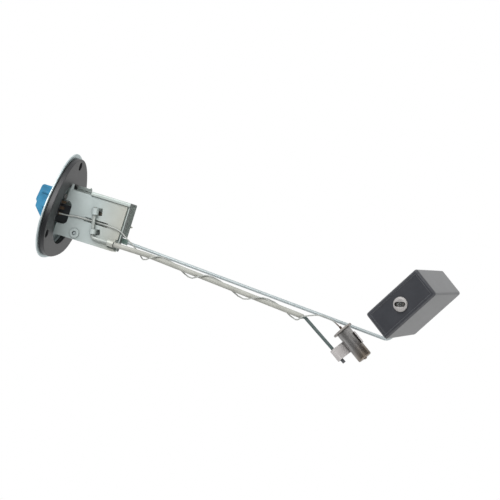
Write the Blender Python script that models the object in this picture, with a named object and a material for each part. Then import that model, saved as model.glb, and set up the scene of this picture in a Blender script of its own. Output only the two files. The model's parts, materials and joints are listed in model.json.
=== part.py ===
"""Fuel level sender with a float arm and a low-level thermistor.

The frame has its origin at the centre of the gasket's tank side. +Z points out of the
tank, towards the connector, and the housing and the arm hang to -Z. The float arm swings
in the X-Z plane, towards +X as the tank fills. The panel that carries the thermistor rod
faces -Y.
"""

import math

import bmesh
import bpy
from mathutils import Matrix, Quaternion, Vector

MM = 0.001

# Clearances and sheet
GAP = 0.3 * MM
SLIDE_GAP = 0.2 * MM
SHEET = 0.8 * MM

# Flange outline: a low radius that swells to a lobe at each screw, unevenly spaced so
# that the sender fits in one way only
SCREW_HOLE_RADIUS = 2.75 * MM
SCREW_CIRCLE_RADIUS = 32.4 * MM
SCREW_ANGLES = (0.0, 102.0, -120.0)
LOBE_SPREAD = 55.0
OUTLINE_STEPS = 72

# The pad, the bore and all that they carry are laid out from an axis this far to +X of
# the flange's centre
BODY_OFFSET = 2.0 * MM

# Flange gasket
GASKET_LOW_RADIUS = 25.4 * MM
GASKET_LOBE = 11.4 * MM
GASKET_BORE_RADIUS = 20.5 * MM
GASKET_BORE_OFFSET = 3.0 * MM
GASKET_THICKNESS = 3.5 * MM

# Flange plate, with its middle pressed up into a flat pad
PLATE_LOW_RADIUS = 26.4 * MM
PLATE_LOBE = 13.0 * MM
PLATE_THICKNESS = 0.9 * MM
PLATE_EDGE = 0.25 * MM
PAD_RADIUS = 25.5 * MM
PAD_SLOPE = 1.2 * MM
PAD_HEIGHT = 2.1 * MM
PIP_RADIUS = 1.5 * MM
PIP_HEIGHT = 1.6 * MM
PIP_CENTRE = (-17.6 * MM, -15.5 * MM)

# Connector on the plate: a socket with a sloped back
CONNECTOR_TOP = 19.4 * MM
CONNECTOR_HIGH_X = 12.3 * MM
CONNECTOR_LOW_X = -11.0 * MM
CONNECTOR_FRONT_Y = -12.0 * MM
CONNECTOR_REAR_Y = 2.0 * MM
CONNECTOR_ROUND = 2.0 * MM
SOCKET_LENGTH = 14.0 * MM
SOCKET_WIDTH = 9.6 * MM
SOCKET_DEPTH = 8.0 * MM
LUG_LENGTH = 22.0 * MM
LUG_REACH = 5.0 * MM
LUG_THICKNESS = 2.4 * MM
LUG_RIVET_OFFSET = 7.5 * MM

# Terminals, in a row along X, and the insulator under the plate
TERMINAL_PITCH = 4.0 * MM
TERMINAL_ROW = (0.6 * MM, -6.0 * MM)
TERMINAL_WIDTH = 2.0 * MM
TERMINAL_THICKNESS = 0.6 * MM
TERMINAL_BLADE_TOP_GAP = 2.0 * MM
TERMINAL_TAIL_END = 0.2 * MM
INSULATOR_THICKNESS = 1.0 * MM
INSULATOR_BOSS_HEIGHT = 1.2 * MM
INSULATOR_BOSS_RADIUS = 1.75 * MM
INSULATOR_MARGIN = 0.9 * MM
INSULATOR_WEB_HIGH_X = 3.4 * MM
INSULATOR_WEB_THICKNESS = 3.2 * MM
INSULATOR_WEB_END_Z = -5.2 * MM

# Rivets
RIVET_RADIUS = 1.2 * MM
RIVET_HEAD_RADIUS = 2.1 * MM
RIVET_HEAD_HEIGHT = 0.8 * MM

# Housing: an L-shaped tray behind and an L-shaped panel in front
HOUSING_LOW_X = -17.2 * MM
HOUSING_HIGH_X = 16.8 * MM
HOUSING_DEPTH = 16.0 * MM
HOUSING_END_Z = -43.2 * MM
FOLD_RADIUS = 1.2 * MM
HEM_WIDTH = 2.5 * MM
TOP_WALL_START_Z = -15.3 * MM
END_STRIP_WIDTH = 4.8 * MM
END_STRIP_LOW_X = -16.2 * MM
REAR_CORNER_X = -6.3 * MM
REAR_CORNER_Z = -38.5 * MM
REAR_FOOT_REACH = 6.0 * MM
REAR_FOOT_LENGTH = 24.0 * MM
FOOT_RIVET_OFFSET = 8.5 * MM
EAR_HIGH_X = 18.1 * MM
EAR_BAR_WIDTH = 1.5 * MM
EAR_END_Z = -10.3 * MM
EAR_ROOT_Z = -1.6 * MM
TRAY_NECK_HIGH_X = 15.0 * MM
EAR_HOOK = 0.9 * MM

# Front panel
PANEL_END_GAP = 0.9 * MM
PANEL_STEP_X = 14.3 * MM
PANEL_CORNER_X = -9.0 * MM
PANEL_CORNER_GAP = 1.2 * MM
PANEL_LOW_TOP_Z = 2.2 * MM
PANEL_HIGH_TOP_Z = 0.3 * MM
NOTCH_LOW_X = -9.6 * MM
NOTCH_HIGH_X = 6.4 * MM
NOTCH_DEPTH_Z = -4.6 * MM
NOTCH_ROUND = 3.4 * MM
PANEL_EAR_HIGH_X = 18.0 * MM
PANEL_EAR_END_Z = -2.4 * MM
BOTTOM_WALL_END_Z = -38.8 * MM
CHANNEL_CENTRE_X = -1.9 * MM
CHANNEL_WIDTH = 2.0 * MM
CHANNEL_SLIT = 0.5 * MM
CHANNEL_START_Z = -14.2 * MM
CHANNEL_END_Z = -33.2 * MM
CHANNEL_RAMP = 2.4 * MM
CHANNEL_DEPTH = 1.5 * MM
CRIMP_WIDTH = 3.2 * MM
CRIMP_PLACES = (2.9 * MM, 16.4 * MM)
CRIMP_WIDTHS = (4.4 * MM, 3.2 * MM, 4.2 * MM)
WINDOW_LENGTHS = (2.6 * MM, 2.6 * MM, 0.9 * MM)
WINDOW_ROUND = 0.7 * MM

# Pivot of the float arm, its axis along Y
PIVOT = (-13.0 * MM, -11.8 * MM)
SHAFT_RADIUS = 1.3 * MM
SHAFT_RECESS = 0.9 * MM
BUSH_RADIUS = 2.3 * MM
BUSH_FLANGE_RADIUS = 3.2 * MM
BUSH_FLANGE_THICKNESS = 0.7 * MM
BUSH_LIP = 0.9 * MM
RETAINER_RADIUS = 2.6 * MM
RETAINER_THICKNESS = 0.5 * MM
RETAINER_FROM_WALL = 0.9 * MM

# Lever plate that carries the arm wire
LEVER_THICKNESS = 1.1 * MM
LEVER_HUB_RADIUS = 3.2 * MM
LEVER_HUB_LENGTH = 2.4 * MM
LEVER_LENGTH = 19.0 * MM
LEVER_HALF_WIDTH = 2.4 * MM
LEVER_CRIMPS = (4.2 * MM, 14.4 * MM)
STOP_TAB_Z = -29.0 * MM
STOP_TAB_LENGTH = 1.2 * MM

# Wiper and resistor card
WIPER_RADIUS = 17.5 * MM
WIPER_ANGLE = 20.0
WIPER_WIDTH = 2.2 * MM
WIPER_THICKNESS = 0.5 * MM
CONTACT_RADIUS = 0.9 * MM
CONTACT_HEIGHT = 0.4 * MM
CARD_THICKNESS = 1.0 * MM
CARD_HALF_WIDTH = 3.0 * MM
CARD_ANGLES = (0.0, 78.0)
WINDING_TURNS = 32
WINDING_THICKNESS = 0.45 * MM
WINDING_RIDGE = 0.12 * MM
CARD_STANDOFF = 1.2 * MM
EYELET_RADIUS = 1.4 * MM
EYELET_BORE_RADIUS = 0.7 * MM
EYELET_FLANGE_RADIUS = 1.9 * MM
EYELET_FLANGE_THICKNESS = 0.4 * MM
GAUGE_LEAD_RADIUS = 0.4 * MM

# Float arm wire, in the plane Y = 0 up to its bend
ARM_RADIUS = 1.1 * MM
ARM_START = (-7.04 * MM, -15.2 * MM)
ARM_BEND = (-18.37 * MM, -230.81 * MM)
ARM_LAST_RUN = 37.6 * MM
ARM_BEND_RADIUS = 5.0 * MM
ARM_AXLE_RADIUS = 1.8 * MM
STOP_SLEEVE_RADIUS = 2.0 * MM
STOP_SLEEVE_START = 26.4 * MM
STOP_SLEEVE_LENGTH = 5.0 * MM

# Float: a block with a slight taper towards the arm
FLOAT_LENGTH = 43.9 * MM
FLOAT_WIDTH = 20.6 * MM
FLOAT_DEPTH = 47.4 * MM
FLOAT_TAPER = 0.95
FLOAT_ROUND = 1.6 * MM
FLOAT_RIM = 1.1 * MM
FLOAT_RIM_DEPTH = 0.5 * MM
FLOAT_LONG_DIRECTION = (0.822, -0.247, -0.514)
FLOAT_AXLE_DIRECTION = (0.127, 0.959, -0.255)
PUSH_NUT_RADIUS = 4.7 * MM
PUSH_NUT_HEIGHT = 1.5 * MM
PUSH_NUT_SHEET = 0.5 * MM

# Thermistor rod, on the panel and then down to the can
ROD_RADIUS = 1.1 * MM
ROD_TOP = (7.6 * MM, -20.8 * MM)
ROD_CORNER = (-12.3 * MM, -24.5 * MM)
ROD_BOW = (-12.5 * MM, -66.0 * MM)
ROD_KINK = (-20.4 * MM, -176.6 * MM)
ROD_END = (-40.3 * MM, -209.4 * MM)
ROD_BEND_RADIUS = 2.2 * MM
ROD_BOW_RADIUS = 150.0 * MM
ROD_SLEEVE_OUTER = 1.65 * MM
ROD_SLEEVE_TOP_Z = -40.7 * MM
ROD_SLEEVE_END_Z = -174.9 * MM

# Thermistor can and its clip
CAN_TOP = (-20.5 * MM, -201.6 * MM)
CAN_ANGLE = 33.0
CAN_RADIUS = 4.9 * MM
CAN_LENGTH = 23.6 * MM
CAN_ROUND = 0.8 * MM
COLLAR_RADIUS = 6.9 * MM
COLLAR_THICKNESS = 1.3 * MM
CAN_NIB_RADIUS = 1.1 * MM
CAN_NIB_HEIGHT = 0.8 * MM
PIN_RADIUS = 0.8 * MM
PIN_HEIGHT = 2.4 * MM
CLIP_START = 6.2 * MM
CLIP_WIDTH = 8.4 * MM
CLIP_LIP = 3.0 * MM

# Lead wire of the thermistor
LEAD_RADIUS = 0.45 * MM
LEAD_COIL_RADIUS = ROD_SLEEVE_OUTER + SLIDE_GAP + LEAD_RADIUS
LEAD_COIL_START = (-54.8 * MM, 320.0)
LEAD_COIL_LOW_Z = (-62.5 * MM, -96.3 * MM, -133.5 * MM, -171.3 * MM)
LEAD_COIL_HIGH_Z = (-74.8 * MM, -109.3 * MM, -149.8 * MM)
LEAD_COIL_END = (-175.6 * MM, -1000.0)
LEAD_COIL_STEPS = 38
LEAD_COIL_SAG = 1.2 * MM

# Values worked out from the sizes above
RIM_LOW = GASKET_THICKNESS + GAP
RIM_HIGH = RIM_LOW + PLATE_THICKNESS
PAD_TOP = RIM_HIGH + PAD_HEIGHT
PAD_UNDER = RIM_LOW + PAD_HEIGHT
FRONT_Y = -HOUSING_DEPTH / 2
REAR_Y = HOUSING_DEPTH / 2
PANEL_INNER_Y = FRONT_Y + SHEET
WALL_INNER_Y = REAR_Y - SHEET
HOUSING_TOP_Z = PAD_UNDER - GAP
PANEL_HIGH_X = HOUSING_HIGH_X - SHEET - GAP
PANEL_END_Z = HOUSING_END_Z + SHEET + PANEL_END_GAP
BOTTOM_INNER_X = HOUSING_LOW_X + SHEET
HEM_Y = FRONT_Y - GAP - SHEET
ROD_Y = FRONT_Y - GAP - ROD_SLEEVE_OUTER
LEVER_FACE_Y = -ARM_RADIUS - GAP
LEVER_BACK_Y = LEVER_FACE_Y - LEVER_THICKNESS
CARD_BACK_Y = WALL_INNER_Y - GAP - CARD_STANDOFF
CARD_FRONT_Y = CARD_BACK_Y - CARD_THICKNESS
WINDING_FRONT_Y = CARD_FRONT_Y - SLIDE_GAP - WINDING_THICKNESS - WINDING_RIDGE
CONNECTOR_BASE = PAD_TOP + GAP

COLOURS = {
    "zinc": ((0.62, 0.64, 0.60), 0.38, 0.9),
    "panel_zinc": ((0.55, 0.60, 0.56), 0.42, 0.8),
    "tin": ((0.52, 0.50, 0.43), 0.35, 0.9),
    "rubber": ((0.10, 0.09, 0.10), 0.75, 0.0),
    "blue_plastic": ((0.07, 0.25, 0.42), 0.42, 0.0),
    "dark_plastic": ((0.05, 0.06, 0.06), 0.5, 0.0),
    "green_nylon": ((0.18, 0.32, 0.28), 0.4, 0.0),
    "pale_sleeve": ((0.62, 0.62, 0.54), 0.4, 0.0),
    "brass": ((0.60, 0.38, 0.20), 0.35, 1.0),
    "grey_lead": ((0.42, 0.43, 0.42), 0.5, 0.0),
    "phenolic": ((0.22, 0.10, 0.05), 0.6, 0.0),
    "resistance_wire": ((0.45, 0.40, 0.33), 0.4, 1.0),
    "float_foam": ((0.02, 0.03, 0.04), 0.55, 0.0),
}


def clear_scene():
    """Remove the objects that the file opened with."""
    for item in list(bpy.data.objects):
        bpy.data.objects.remove(item, do_unlink=True)


def material(name):
    """Return the Principled material of that name, made once."""
    found = bpy.data.materials.get(name)
    if found:
        return found
    colour, roughness, metallic = COLOURS[name]
    made = bpy.data.materials.new(name)
    made.use_nodes = True
    shader = made.node_tree.nodes["Principled BSDF"]
    shader.inputs["Base Color"].default_value = (*colour, 1.0)
    shader.inputs["Roughness"].default_value = roughness
    shader.inputs["Metallic"].default_value = metallic
    return made


# Outlines in two dimensions

def arc(centre, radius, start, end, steps):
    """Points on an arc, with its angles in degrees."""
    turns = [math.radians(start + (end - start) * step / steps) for step in range(steps + 1)]
    return [(centre[0] + radius * math.cos(turn), centre[1] + radius * math.sin(turn)) for turn in turns]


def rounded_outline(corners, steps=4):
    """Outline from (u, v, radius) corners, where a radius of 0 keeps the corner sharp."""
    outline = []
    for index, (u, v, radius) in enumerate(corners):
        here = Vector((u, v))
        if radius <= 0.0:
            outline.append((u, v))
            continue
        before = (Vector(corners[index - 1][:2]) - here).normalized()
        after = (Vector(corners[(index + 1) % len(corners)][:2]) - here).normalized()
        half = before.angle(after) / 2
        reach = radius / math.tan(half)
        centre = here + (before + after).normalized() * (radius / math.sin(half))
        spoke, last = here + before * reach - centre, here + after * reach - centre
        swing = spoke.angle_signed(last)
        for step in range(steps + 1):
            turned_spoke = spoke.copy()
            turned_spoke.rotate(Matrix.Rotation(-swing * step / steps, 2))
            outline.append(tuple(centre + turned_spoke))
    return outline


def strip_outline(centre_line, thickness):
    """Closed outline of a bent strip of one thickness along a line of points."""
    points = [Vector(point) for point in centre_line]
    near, far = [], []
    for index, point in enumerate(points):
        steps = []
        if index > 0:
            steps.append((point - points[index - 1]).normalized())
        if index < len(points) - 1:
            steps.append((points[index + 1] - point).normalized())
        along = sum(steps, Vector((0.0, 0.0))).normalized()
        side = Vector((-along.y, along.x))
        reach = thickness / 2 / max(along.dot(steps[0]), 0.5)
        near.append(tuple(point + side * reach))
        far.append(tuple(point - side * reach))
    return near + far[::-1]


# Solids as bmesh

def prism(outline, axis, start, end):
    """Extrude a closed outline along X, Y or Z between two places."""
    places = {
        "X": lambda u, v, w: (w, u, v),
        "Y": lambda u, v, w: (u, w, v),
        "Z": lambda u, v, w: (u, v, w),
    }
    place = places[axis]
    solid = bmesh.new()
    face = solid.faces.new([solid.verts.new(place(u, v, start)) for u, v in outline])
    extruded = bmesh.ops.extrude_face_region(solid, geom=[face])["geom"]
    moved = [item for item in extruded if isinstance(item, bmesh.types.BMVert)]
    bmesh.ops.translate(solid, verts=moved, vec=place(0.0, 0.0, end - start))
    bmesh.ops.recalc_face_normals(solid, faces=solid.faces)
    return solid


def box(low, high):
    """An axis-aligned block between two corners."""
    outline = [(low[0], low[1]), (high[0], low[1]), (high[0], high[1]), (low[0], high[1])]
    return prism(outline, "Z", low[2], high[2])


def turned(profile, steps=32, closed=False):
    """Spin a profile of (radius, z) points about Z; closed makes a ring."""
    solid = bmesh.new()
    verts = [solid.verts.new((radius, 0.0, z)) for radius, z in profile]
    edges = [solid.edges.new(pair) for pair in zip(verts, verts[1:])]
    if closed:
        edges.append(solid.edges.new((verts[-1], verts[0])))
    bmesh.ops.spin(solid, geom=verts + edges, cent=(0, 0, 0), axis=(0, 0, 1),
                   angle=2 * math.pi, steps=steps, use_merge=True)
    bmesh.ops.remove_doubles(solid, verts=solid.verts, dist=0.001 * MM)
    bmesh.ops.recalc_face_normals(solid, faces=solid.faces)
    return solid


def rod(radius, start, end, steps=24):
    """A plain cylinder along Z between two heights."""
    return turned([(0.0, start), (radius, start), (radius, end), (0.0, end)], steps)


def ring(outer, inner, start, end, steps=32):
    """A plain tube along Z between two heights."""
    return turned([(inner, start), (outer, start), (outer, end), (inner, end)], steps, closed=True)


def moved(solid, matrix):
    """Place a solid by a matrix, turning its faces out again."""
    bmesh.ops.transform(solid, matrix=matrix, verts=solid.verts)
    bmesh.ops.recalc_face_normals(solid, faces=solid.faces)
    return solid


def shifted(solid, x, y, z):
    """Move a solid."""
    return moved(solid, Matrix.Translation((x, y, z)))


def together(solids):
    """Collect several solids in one mesh, as separate bodies."""
    whole = bmesh.new()
    for solid in solids:
        part = bpy.data.meshes.new("part")
        solid.to_mesh(part)
        solid.free()
        whole.from_mesh(part)
        bpy.data.meshes.remove(part)
    return whole


def facing(origin, x_axis, z_axis):
    """Matrix of a frame with its Z along z_axis and its X as near x_axis as it can be."""
    z_axis = Vector(z_axis).normalized()
    y_axis = z_axis.cross(Vector(x_axis)).normalized()
    x_axis = y_axis.cross(z_axis)
    matrix = Matrix((x_axis, y_axis, z_axis)).transposed().to_4x4()
    matrix.translation = Vector(origin)
    return matrix


ALONG_Y = facing((0.0, 0.0, 0.0), (1, 0, 0), (0, 1, 0))


# Objects

def add_object(name, solid, finish, origin=(0.0, 0.0, 0.0), parent=None):
    """Make a named object of a solid in world places, with its own origin and parent."""
    bmesh.ops.translate(solid, verts=solid.verts, vec=-Vector(origin))
    mesh = bpy.data.meshes.new(name)
    solid.to_mesh(mesh)
    solid.free()
    mesh.materials.append(material(finish))
    mesh.shade_smooth()
    mesh.set_sharp_from_angle(angle=math.radians(32))
    item = bpy.data.objects.new(name, mesh)
    bpy.context.collection.objects.link(item)
    item.parent = parent
    item.location = Vector(origin) - (parent.location if parent else Vector())
    return item


def add_wire(name, path, radius, finish, rounding, parent=None):
    """Make a wire: a curve through the points, with a round bevel and filled caps."""
    curve = bpy.data.curves.new(name, "CURVE")
    curve.dimensions = "3D"
    spline = curve.splines.new("POLY")
    spline.points.add(len(path) - 1)
    offset = parent.location if parent else Vector()
    for point, place in zip(spline.points, path):
        point.co = (*(Vector(place) - offset), 1.0)
    spline.use_smooth = True
    curve.bevel_depth = radius
    curve.bevel_resolution = rounding
    curve.use_fill_caps = True
    curve.materials.append(material(finish))
    item = bpy.data.objects.new(name, curve)
    bpy.context.collection.objects.link(item)
    item.parent = parent
    return item


def change(target, solid, operation, label):
    """Cut or join a solid with a target by an exact Boolean."""
    mesh = bpy.data.meshes.new(label)
    solid.to_mesh(mesh)
    solid.free()
    tool = bpy.data.objects.new(label, mesh)
    bpy.context.collection.objects.link(tool)
    tool.hide_render = True
    tool.display_type = "WIRE"
    tool.parent = target
    tool.location = -target.location
    if target.parent:
        tool.location -= target.parent.location
    boolean = target.modifiers.new(label, "BOOLEAN")
    boolean.operation = operation
    boolean.solver = "EXACT"
    boolean.object = tool


def round_path(corners, radii, steps=5):
    """Path through the corners, each inner one replaced by an arc of its radius."""
    corners = [Vector(corner) for corner in corners]
    path = [corners[0]]
    for before, here, after, radius in zip(corners, corners[1:], corners[2:], radii):
        back, ahead = (before - here).normalized(), (after - here).normalized()
        half = back.angle(ahead) / 2
        centre = here + (back + ahead).normalized() * (radius / math.sin(half))
        spoke = here + back * (radius / math.tan(half)) - centre
        axis = spoke.cross(here + ahead * (radius / math.tan(half)) - centre)
        for step in range(steps + 1):
            path.append(centre + Quaternion(axis, (math.pi - 2 * half) * step / steps) @ spoke)
    path.append(corners[-1])
    return path


# Directions that several pieces share

PIVOT_POINT = Vector((PIVOT[0], 0.0, PIVOT[1]))
ARM_TOP = Vector((ARM_START[0], 0.0, ARM_START[1]))
ARM_CORNER = Vector((ARM_BEND[0], 0.0, ARM_BEND[1]))
ARM_ALONG = (ARM_CORNER - ARM_TOP).normalized()
FLOAT_LONG = Vector(FLOAT_LONG_DIRECTION).normalized()
FLOAT_AXLE = Vector(FLOAT_AXLE_DIRECTION)
FLOAT_AXLE = (FLOAT_AXLE - FLOAT_LONG * FLOAT_AXLE.dot(FLOAT_LONG)).normalized()
ARM_AXLE_POINT = ARM_CORNER + FLOAT_LONG * ARM_LAST_RUN
FLOAT_SEAT = ARM_AXLE_POINT - FLOAT_AXLE * (ARM_AXLE_RADIUS + GAP)
ROD_PATH = round_path([(x, ROD_Y, z) for x, z in (ROD_TOP, ROD_CORNER, ROD_BOW, ROD_KINK, ROD_END)],
                      (ROD_BEND_RADIUS, ROD_BOW_RADIUS, ROD_BEND_RADIUS))
CAN_DOWN = Vector((-math.sin(math.radians(CAN_ANGLE)), 0.0, -math.cos(math.radians(CAN_ANGLE))))
CAN_ORIGIN = Vector((CAN_TOP[0], ROD_Y, CAN_TOP[1]))


def rod_at(z):
    """Point of the thermistor rod at a height."""
    for here, ahead in zip(ROD_PATH, ROD_PATH[1:]):
        if ahead.z <= z <= here.z:
            return here.lerp(ahead, (here.z - z) / (here.z - ahead.z))
    return ROD_PATH[-1]


def pivot_ray(angle, radius):
    """Point at a radius from the pivot, its angle in degrees from -Z towards +X."""
    turn = math.radians(angle)
    return PIVOT[0] + radius * math.sin(turn), PIVOT[1] - radius * math.cos(turn)


def terminal_places():
    """X of each terminal, from the low one up."""
    return [TERMINAL_ROW[0] + TERMINAL_PITCH * step for step in (-1, 0, 1)]


# Crimped tabs: a strip from the sheet over a wire

def crimp_outline(wire_radius, thickness, drop):
    """Section of a tab over a wire, from the sheet at a drop below the wire's centre."""
    middle = wire_radius + GAP + thickness / 2
    over = arc((0.0, 0.0), middle, 180.0, 0.0, 8)
    return strip_outline([(-middle, -drop), *over, (middle, -wire_radius * 0.2)], thickness)


def crimp_tab(centre, along, away, foot_side, wire_radius, thickness, drop, length):
    """A tab over a wire; foot_side points to the side where it leaves the sheet."""
    tab = prism(crimp_outline(wire_radius, thickness, drop), "Z", -length / 2, length / 2)
    matrix = Matrix((-Vector(foot_side), Vector(away), Vector(along))).transposed().to_4x4()
    matrix.translation = Vector(centre)
    return moved(tab, matrix)


# Flange

def screw_places():
    """Centres of the screw holes, as (x, y)."""
    turns = [math.radians(angle) for angle in SCREW_ANGLES]
    return [(SCREW_CIRCLE_RADIUS * math.cos(turn) - BODY_OFFSET, SCREW_CIRCLE_RADIUS * math.sin(turn))
            for turn in turns]


def flange_outline(low, lobe, inset=0.0):
    """Points (x, y) of an outline round the flange's centre that swells at each screw."""
    points = []
    for step in range(OUTLINE_STEPS):
        angle = 360.0 * step / OUTLINE_STEPS
        offsets = [(angle - screw + 180.0) % 360.0 - 180.0 for screw in SCREW_ANGLES]
        radius = low + lobe * sum(math.exp(-(offset / LOBE_SPREAD) ** 2) for offset in offsets) - inset
        turn = math.radians(angle)
        points.append((radius * math.cos(turn) - BODY_OFFSET, radius * math.sin(turn)))
    return points


def circle(radius):
    """Points (x, y) of a circle round the pad's axis, as many as an outline has."""
    return arc((0.0, 0.0), radius, 0.0, 360.0, OUTLINE_STEPS)[:-1]


def stacked(levels, closed=False):
    """Solid through loops of equal count, each (points, z); closed joins the last to the first."""
    solid = bmesh.new()
    loops = [[solid.verts.new((x, y, z)) for x, y in points] for points, z in levels]
    pairs = list(zip(loops, loops[1:]))
    if closed:
        pairs.append((loops[-1], loops[0]))
    else:
        solid.faces.new(loops[0])
        solid.faces.new(loops[-1])
    for here, ahead in pairs:
        for index in range(len(here)):
            after = (index + 1) % len(here)
            solid.faces.new((here[index], here[after], ahead[after], ahead[index]))
    bmesh.ops.recalc_face_normals(solid, faces=solid.faces)
    return solid


def holes(places, radius, low, high):
    """Round cutters along Z at several places."""
    return together([shifted(rod(radius, low, high), x, y, 0.0) for x, y in places])


def connector_rivet_places():
    """Centres of the rivets in the connector's lug."""
    middle = (CONNECTOR_HIGH_X + CONNECTOR_LOW_X) / 2
    y = CONNECTOR_REAR_Y + RIVET_HEAD_RADIUS + GAP
    return [(middle - LUG_RIVET_OFFSET, y), (middle + LUG_RIVET_OFFSET, y)]


def foot_rivet_places():
    """Centres of the rivets in the tray's foot."""
    middle = (HOUSING_HIGH_X + HOUSING_LOW_X) / 2
    y = REAR_Y + REAR_FOOT_REACH - RIVET_HEAD_RADIUS - GAP
    return [(middle - FOOT_RIVET_OFFSET, y), (middle + FOOT_RIVET_OFFSET, y)]


def make_gasket():
    """Lobed rubber ring with the screw holes."""
    outline = flange_outline(GASKET_LOW_RADIUS, GASKET_LOBE)
    bore = [(x - GASKET_BORE_OFFSET, y) for x, y in circle(GASKET_BORE_RADIUS)]
    levels = [(bore, 0.0), (outline, 0.0), (outline, GASKET_THICKNESS), (bore, GASKET_THICKNESS)]
    gasket = add_object("flange_gasket", stacked(levels, closed=True), "rubber")
    cutter = holes(screw_places(), SCREW_HOLE_RADIUS, -GAP, GASKET_THICKNESS + GAP)
    change(gasket, cutter, "DIFFERENCE", "gasket_screw_holes")


def make_plate():
    """Lobed steel plate whose middle is pressed up, with its holes and the locating pip."""
    recess = PAD_RADIUS - PLATE_THICKNESS / 2
    outline = flange_outline(PLATE_LOW_RADIUS, PLATE_LOBE)
    inset = flange_outline(PLATE_LOW_RADIUS, PLATE_LOBE, PLATE_EDGE)
    levels = [
        (circle(recess), PAD_UNDER), (circle(recess + PAD_SLOPE), RIM_LOW), (inset, RIM_LOW),
        (outline, RIM_LOW + PLATE_EDGE), (outline, RIM_HIGH - PLATE_EDGE), (inset, RIM_HIGH),
        (circle(PAD_RADIUS + PAD_SLOPE), RIM_HIGH), (circle(PAD_RADIUS), PAD_TOP),
    ]
    plate = add_object("flange_plate", stacked(levels), "zinc")
    low, high = RIM_LOW - GAP, PAD_TOP + GAP
    change(plate, holes(screw_places(), SCREW_HOLE_RADIUS, low, high), "DIFFERENCE", "plate_screw_holes")
    rivets = connector_rivet_places() + foot_rivet_places()
    change(plate, holes(rivets, RIVET_RADIUS + GAP, low, high), "DIFFERENCE", "plate_rivet_holes")
    half_width = TERMINAL_WIDTH / 2 + GAP
    half_thickness = TERMINAL_THICKNESS / 2 + GAP
    slots = [box((x - half_width, TERMINAL_ROW[1] - half_thickness, low),
                 (x + half_width, TERMINAL_ROW[1] + half_thickness, high)) for x in terminal_places()]
    change(plate, together(slots), "DIFFERENCE", "plate_terminal_slots")
    pip = turned([(0.0, PAD_TOP - PLATE_THICKNESS / 2), (PIP_RADIUS, PAD_TOP - PLATE_THICKNESS / 2),
                  (PIP_RADIUS, PAD_TOP + PIP_HEIGHT * 0.6), (PIP_RADIUS * 0.6, PAD_TOP + PIP_HEIGHT),
                  (0.0, PAD_TOP + PIP_HEIGHT)], 16)
    change(plate, shifted(pip, PIP_CENTRE[0], PIP_CENTRE[1], 0.0), "UNION", "plate_pip")


def make_connector():
    """Blue socket block with a sloped back, a key rib, a latch ramp and a riveted lug."""
    low, high, top = CONNECTOR_LOW_X, CONNECTOR_HIGH_X, CONNECTOR_TOP
    shoulder = top - 8.0 * MM
    outline = rounded_outline([
        (high, CONNECTOR_BASE, 0.0), (high, top - 1.6 * MM, CONNECTOR_ROUND),
        (TERMINAL_ROW[0] + 0.4 * MM, top, CONNECTOR_ROUND), (-0.1 * MM, top - 1.1 * MM, 0.0),
        (-3.2 * MM, top - 1.0 * MM, CONNECTOR_ROUND), (low + 1.6 * MM, shoulder + 1.2 * MM, 0.0),
        (low, shoulder - 1.2 * MM, 0.0), (low, CONNECTOR_BASE, 0.0),
    ], 3)
    body = add_object("connector_body", prism(outline, "Y", CONNECTOR_FRONT_Y, CONNECTOR_REAR_Y),
                      "blue_plastic")
    middle = (high + low) / 2
    lug = rounded_outline([
        (middle - LUG_LENGTH / 2, CONNECTOR_REAR_Y - SHEET, 0.0),
        (middle + LUG_LENGTH / 2, CONNECTOR_REAR_Y - SHEET, 0.0),
        (middle + LUG_LENGTH / 2, CONNECTOR_REAR_Y + LUG_REACH, 2.4 * MM),
        (middle - LUG_LENGTH / 2, CONNECTOR_REAR_Y + LUG_REACH, 2.4 * MM)], 5)
    change(body, prism(lug, "Z", CONNECTOR_BASE, CONNECTOR_BASE + LUG_THICKNESS), "UNION", "connector_lug")
    ribs = [
        box((6.6 * MM, CONNECTOR_FRONT_Y - 0.9 * MM, CONNECTOR_BASE),
            (8.0 * MM, CONNECTOR_FRONT_Y + 0.5 * MM, top - 3.0 * MM)),
        box((-2.4 * MM, CONNECTOR_FRONT_Y - 1.2 * MM, CONNECTOR_BASE + 4.2 * MM),
            (1.8 * MM, CONNECTOR_FRONT_Y + 0.5 * MM, CONNECTOR_BASE + 6.6 * MM)),
    ]
    change(body, together(ribs), "UNION", "connector_ribs")
    mouth = box((TERMINAL_ROW[0] - SOCKET_LENGTH / 2, TERMINAL_ROW[1] - SOCKET_WIDTH / 2, top - SOCKET_DEPTH),
                (TERMINAL_ROW[0] + SOCKET_LENGTH / 2, TERMINAL_ROW[1] + SOCKET_WIDTH / 2, top + GAP))
    key = box((TERMINAL_ROW[0] - TERMINAL_WIDTH / 2, TERMINAL_ROW[1] + SOCKET_WIDTH / 2 - GAP,
               top - SOCKET_DEPTH),
              (TERMINAL_ROW[0] + TERMINAL_WIDTH / 2, TERMINAL_ROW[1] + SOCKET_WIDTH / 2 + 1.2 * MM, top + GAP))
    change(body, together([mouth]), "DIFFERENCE", "connector_mouth")
    change(body, key, "DIFFERENCE", "connector_key")
    half_width = TERMINAL_WIDTH / 2 + GAP
    half_thickness = TERMINAL_THICKNESS / 2 + GAP
    slots = [box((x - half_width, TERMINAL_ROW[1] - half_thickness, CONNECTOR_BASE - GAP),
                 (x + half_width, TERMINAL_ROW[1] + half_thickness, top - SOCKET_DEPTH + GAP))
             for x in terminal_places()]
    change(body, together(slots), "DIFFERENCE", "connector_slots")
    change(body, holes(connector_rivet_places(), RIVET_RADIUS + GAP, CONNECTOR_BASE - GAP,
                       CONNECTOR_BASE + LUG_THICKNESS + GAP), "DIFFERENCE", "connector_rivet_holes")


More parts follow.
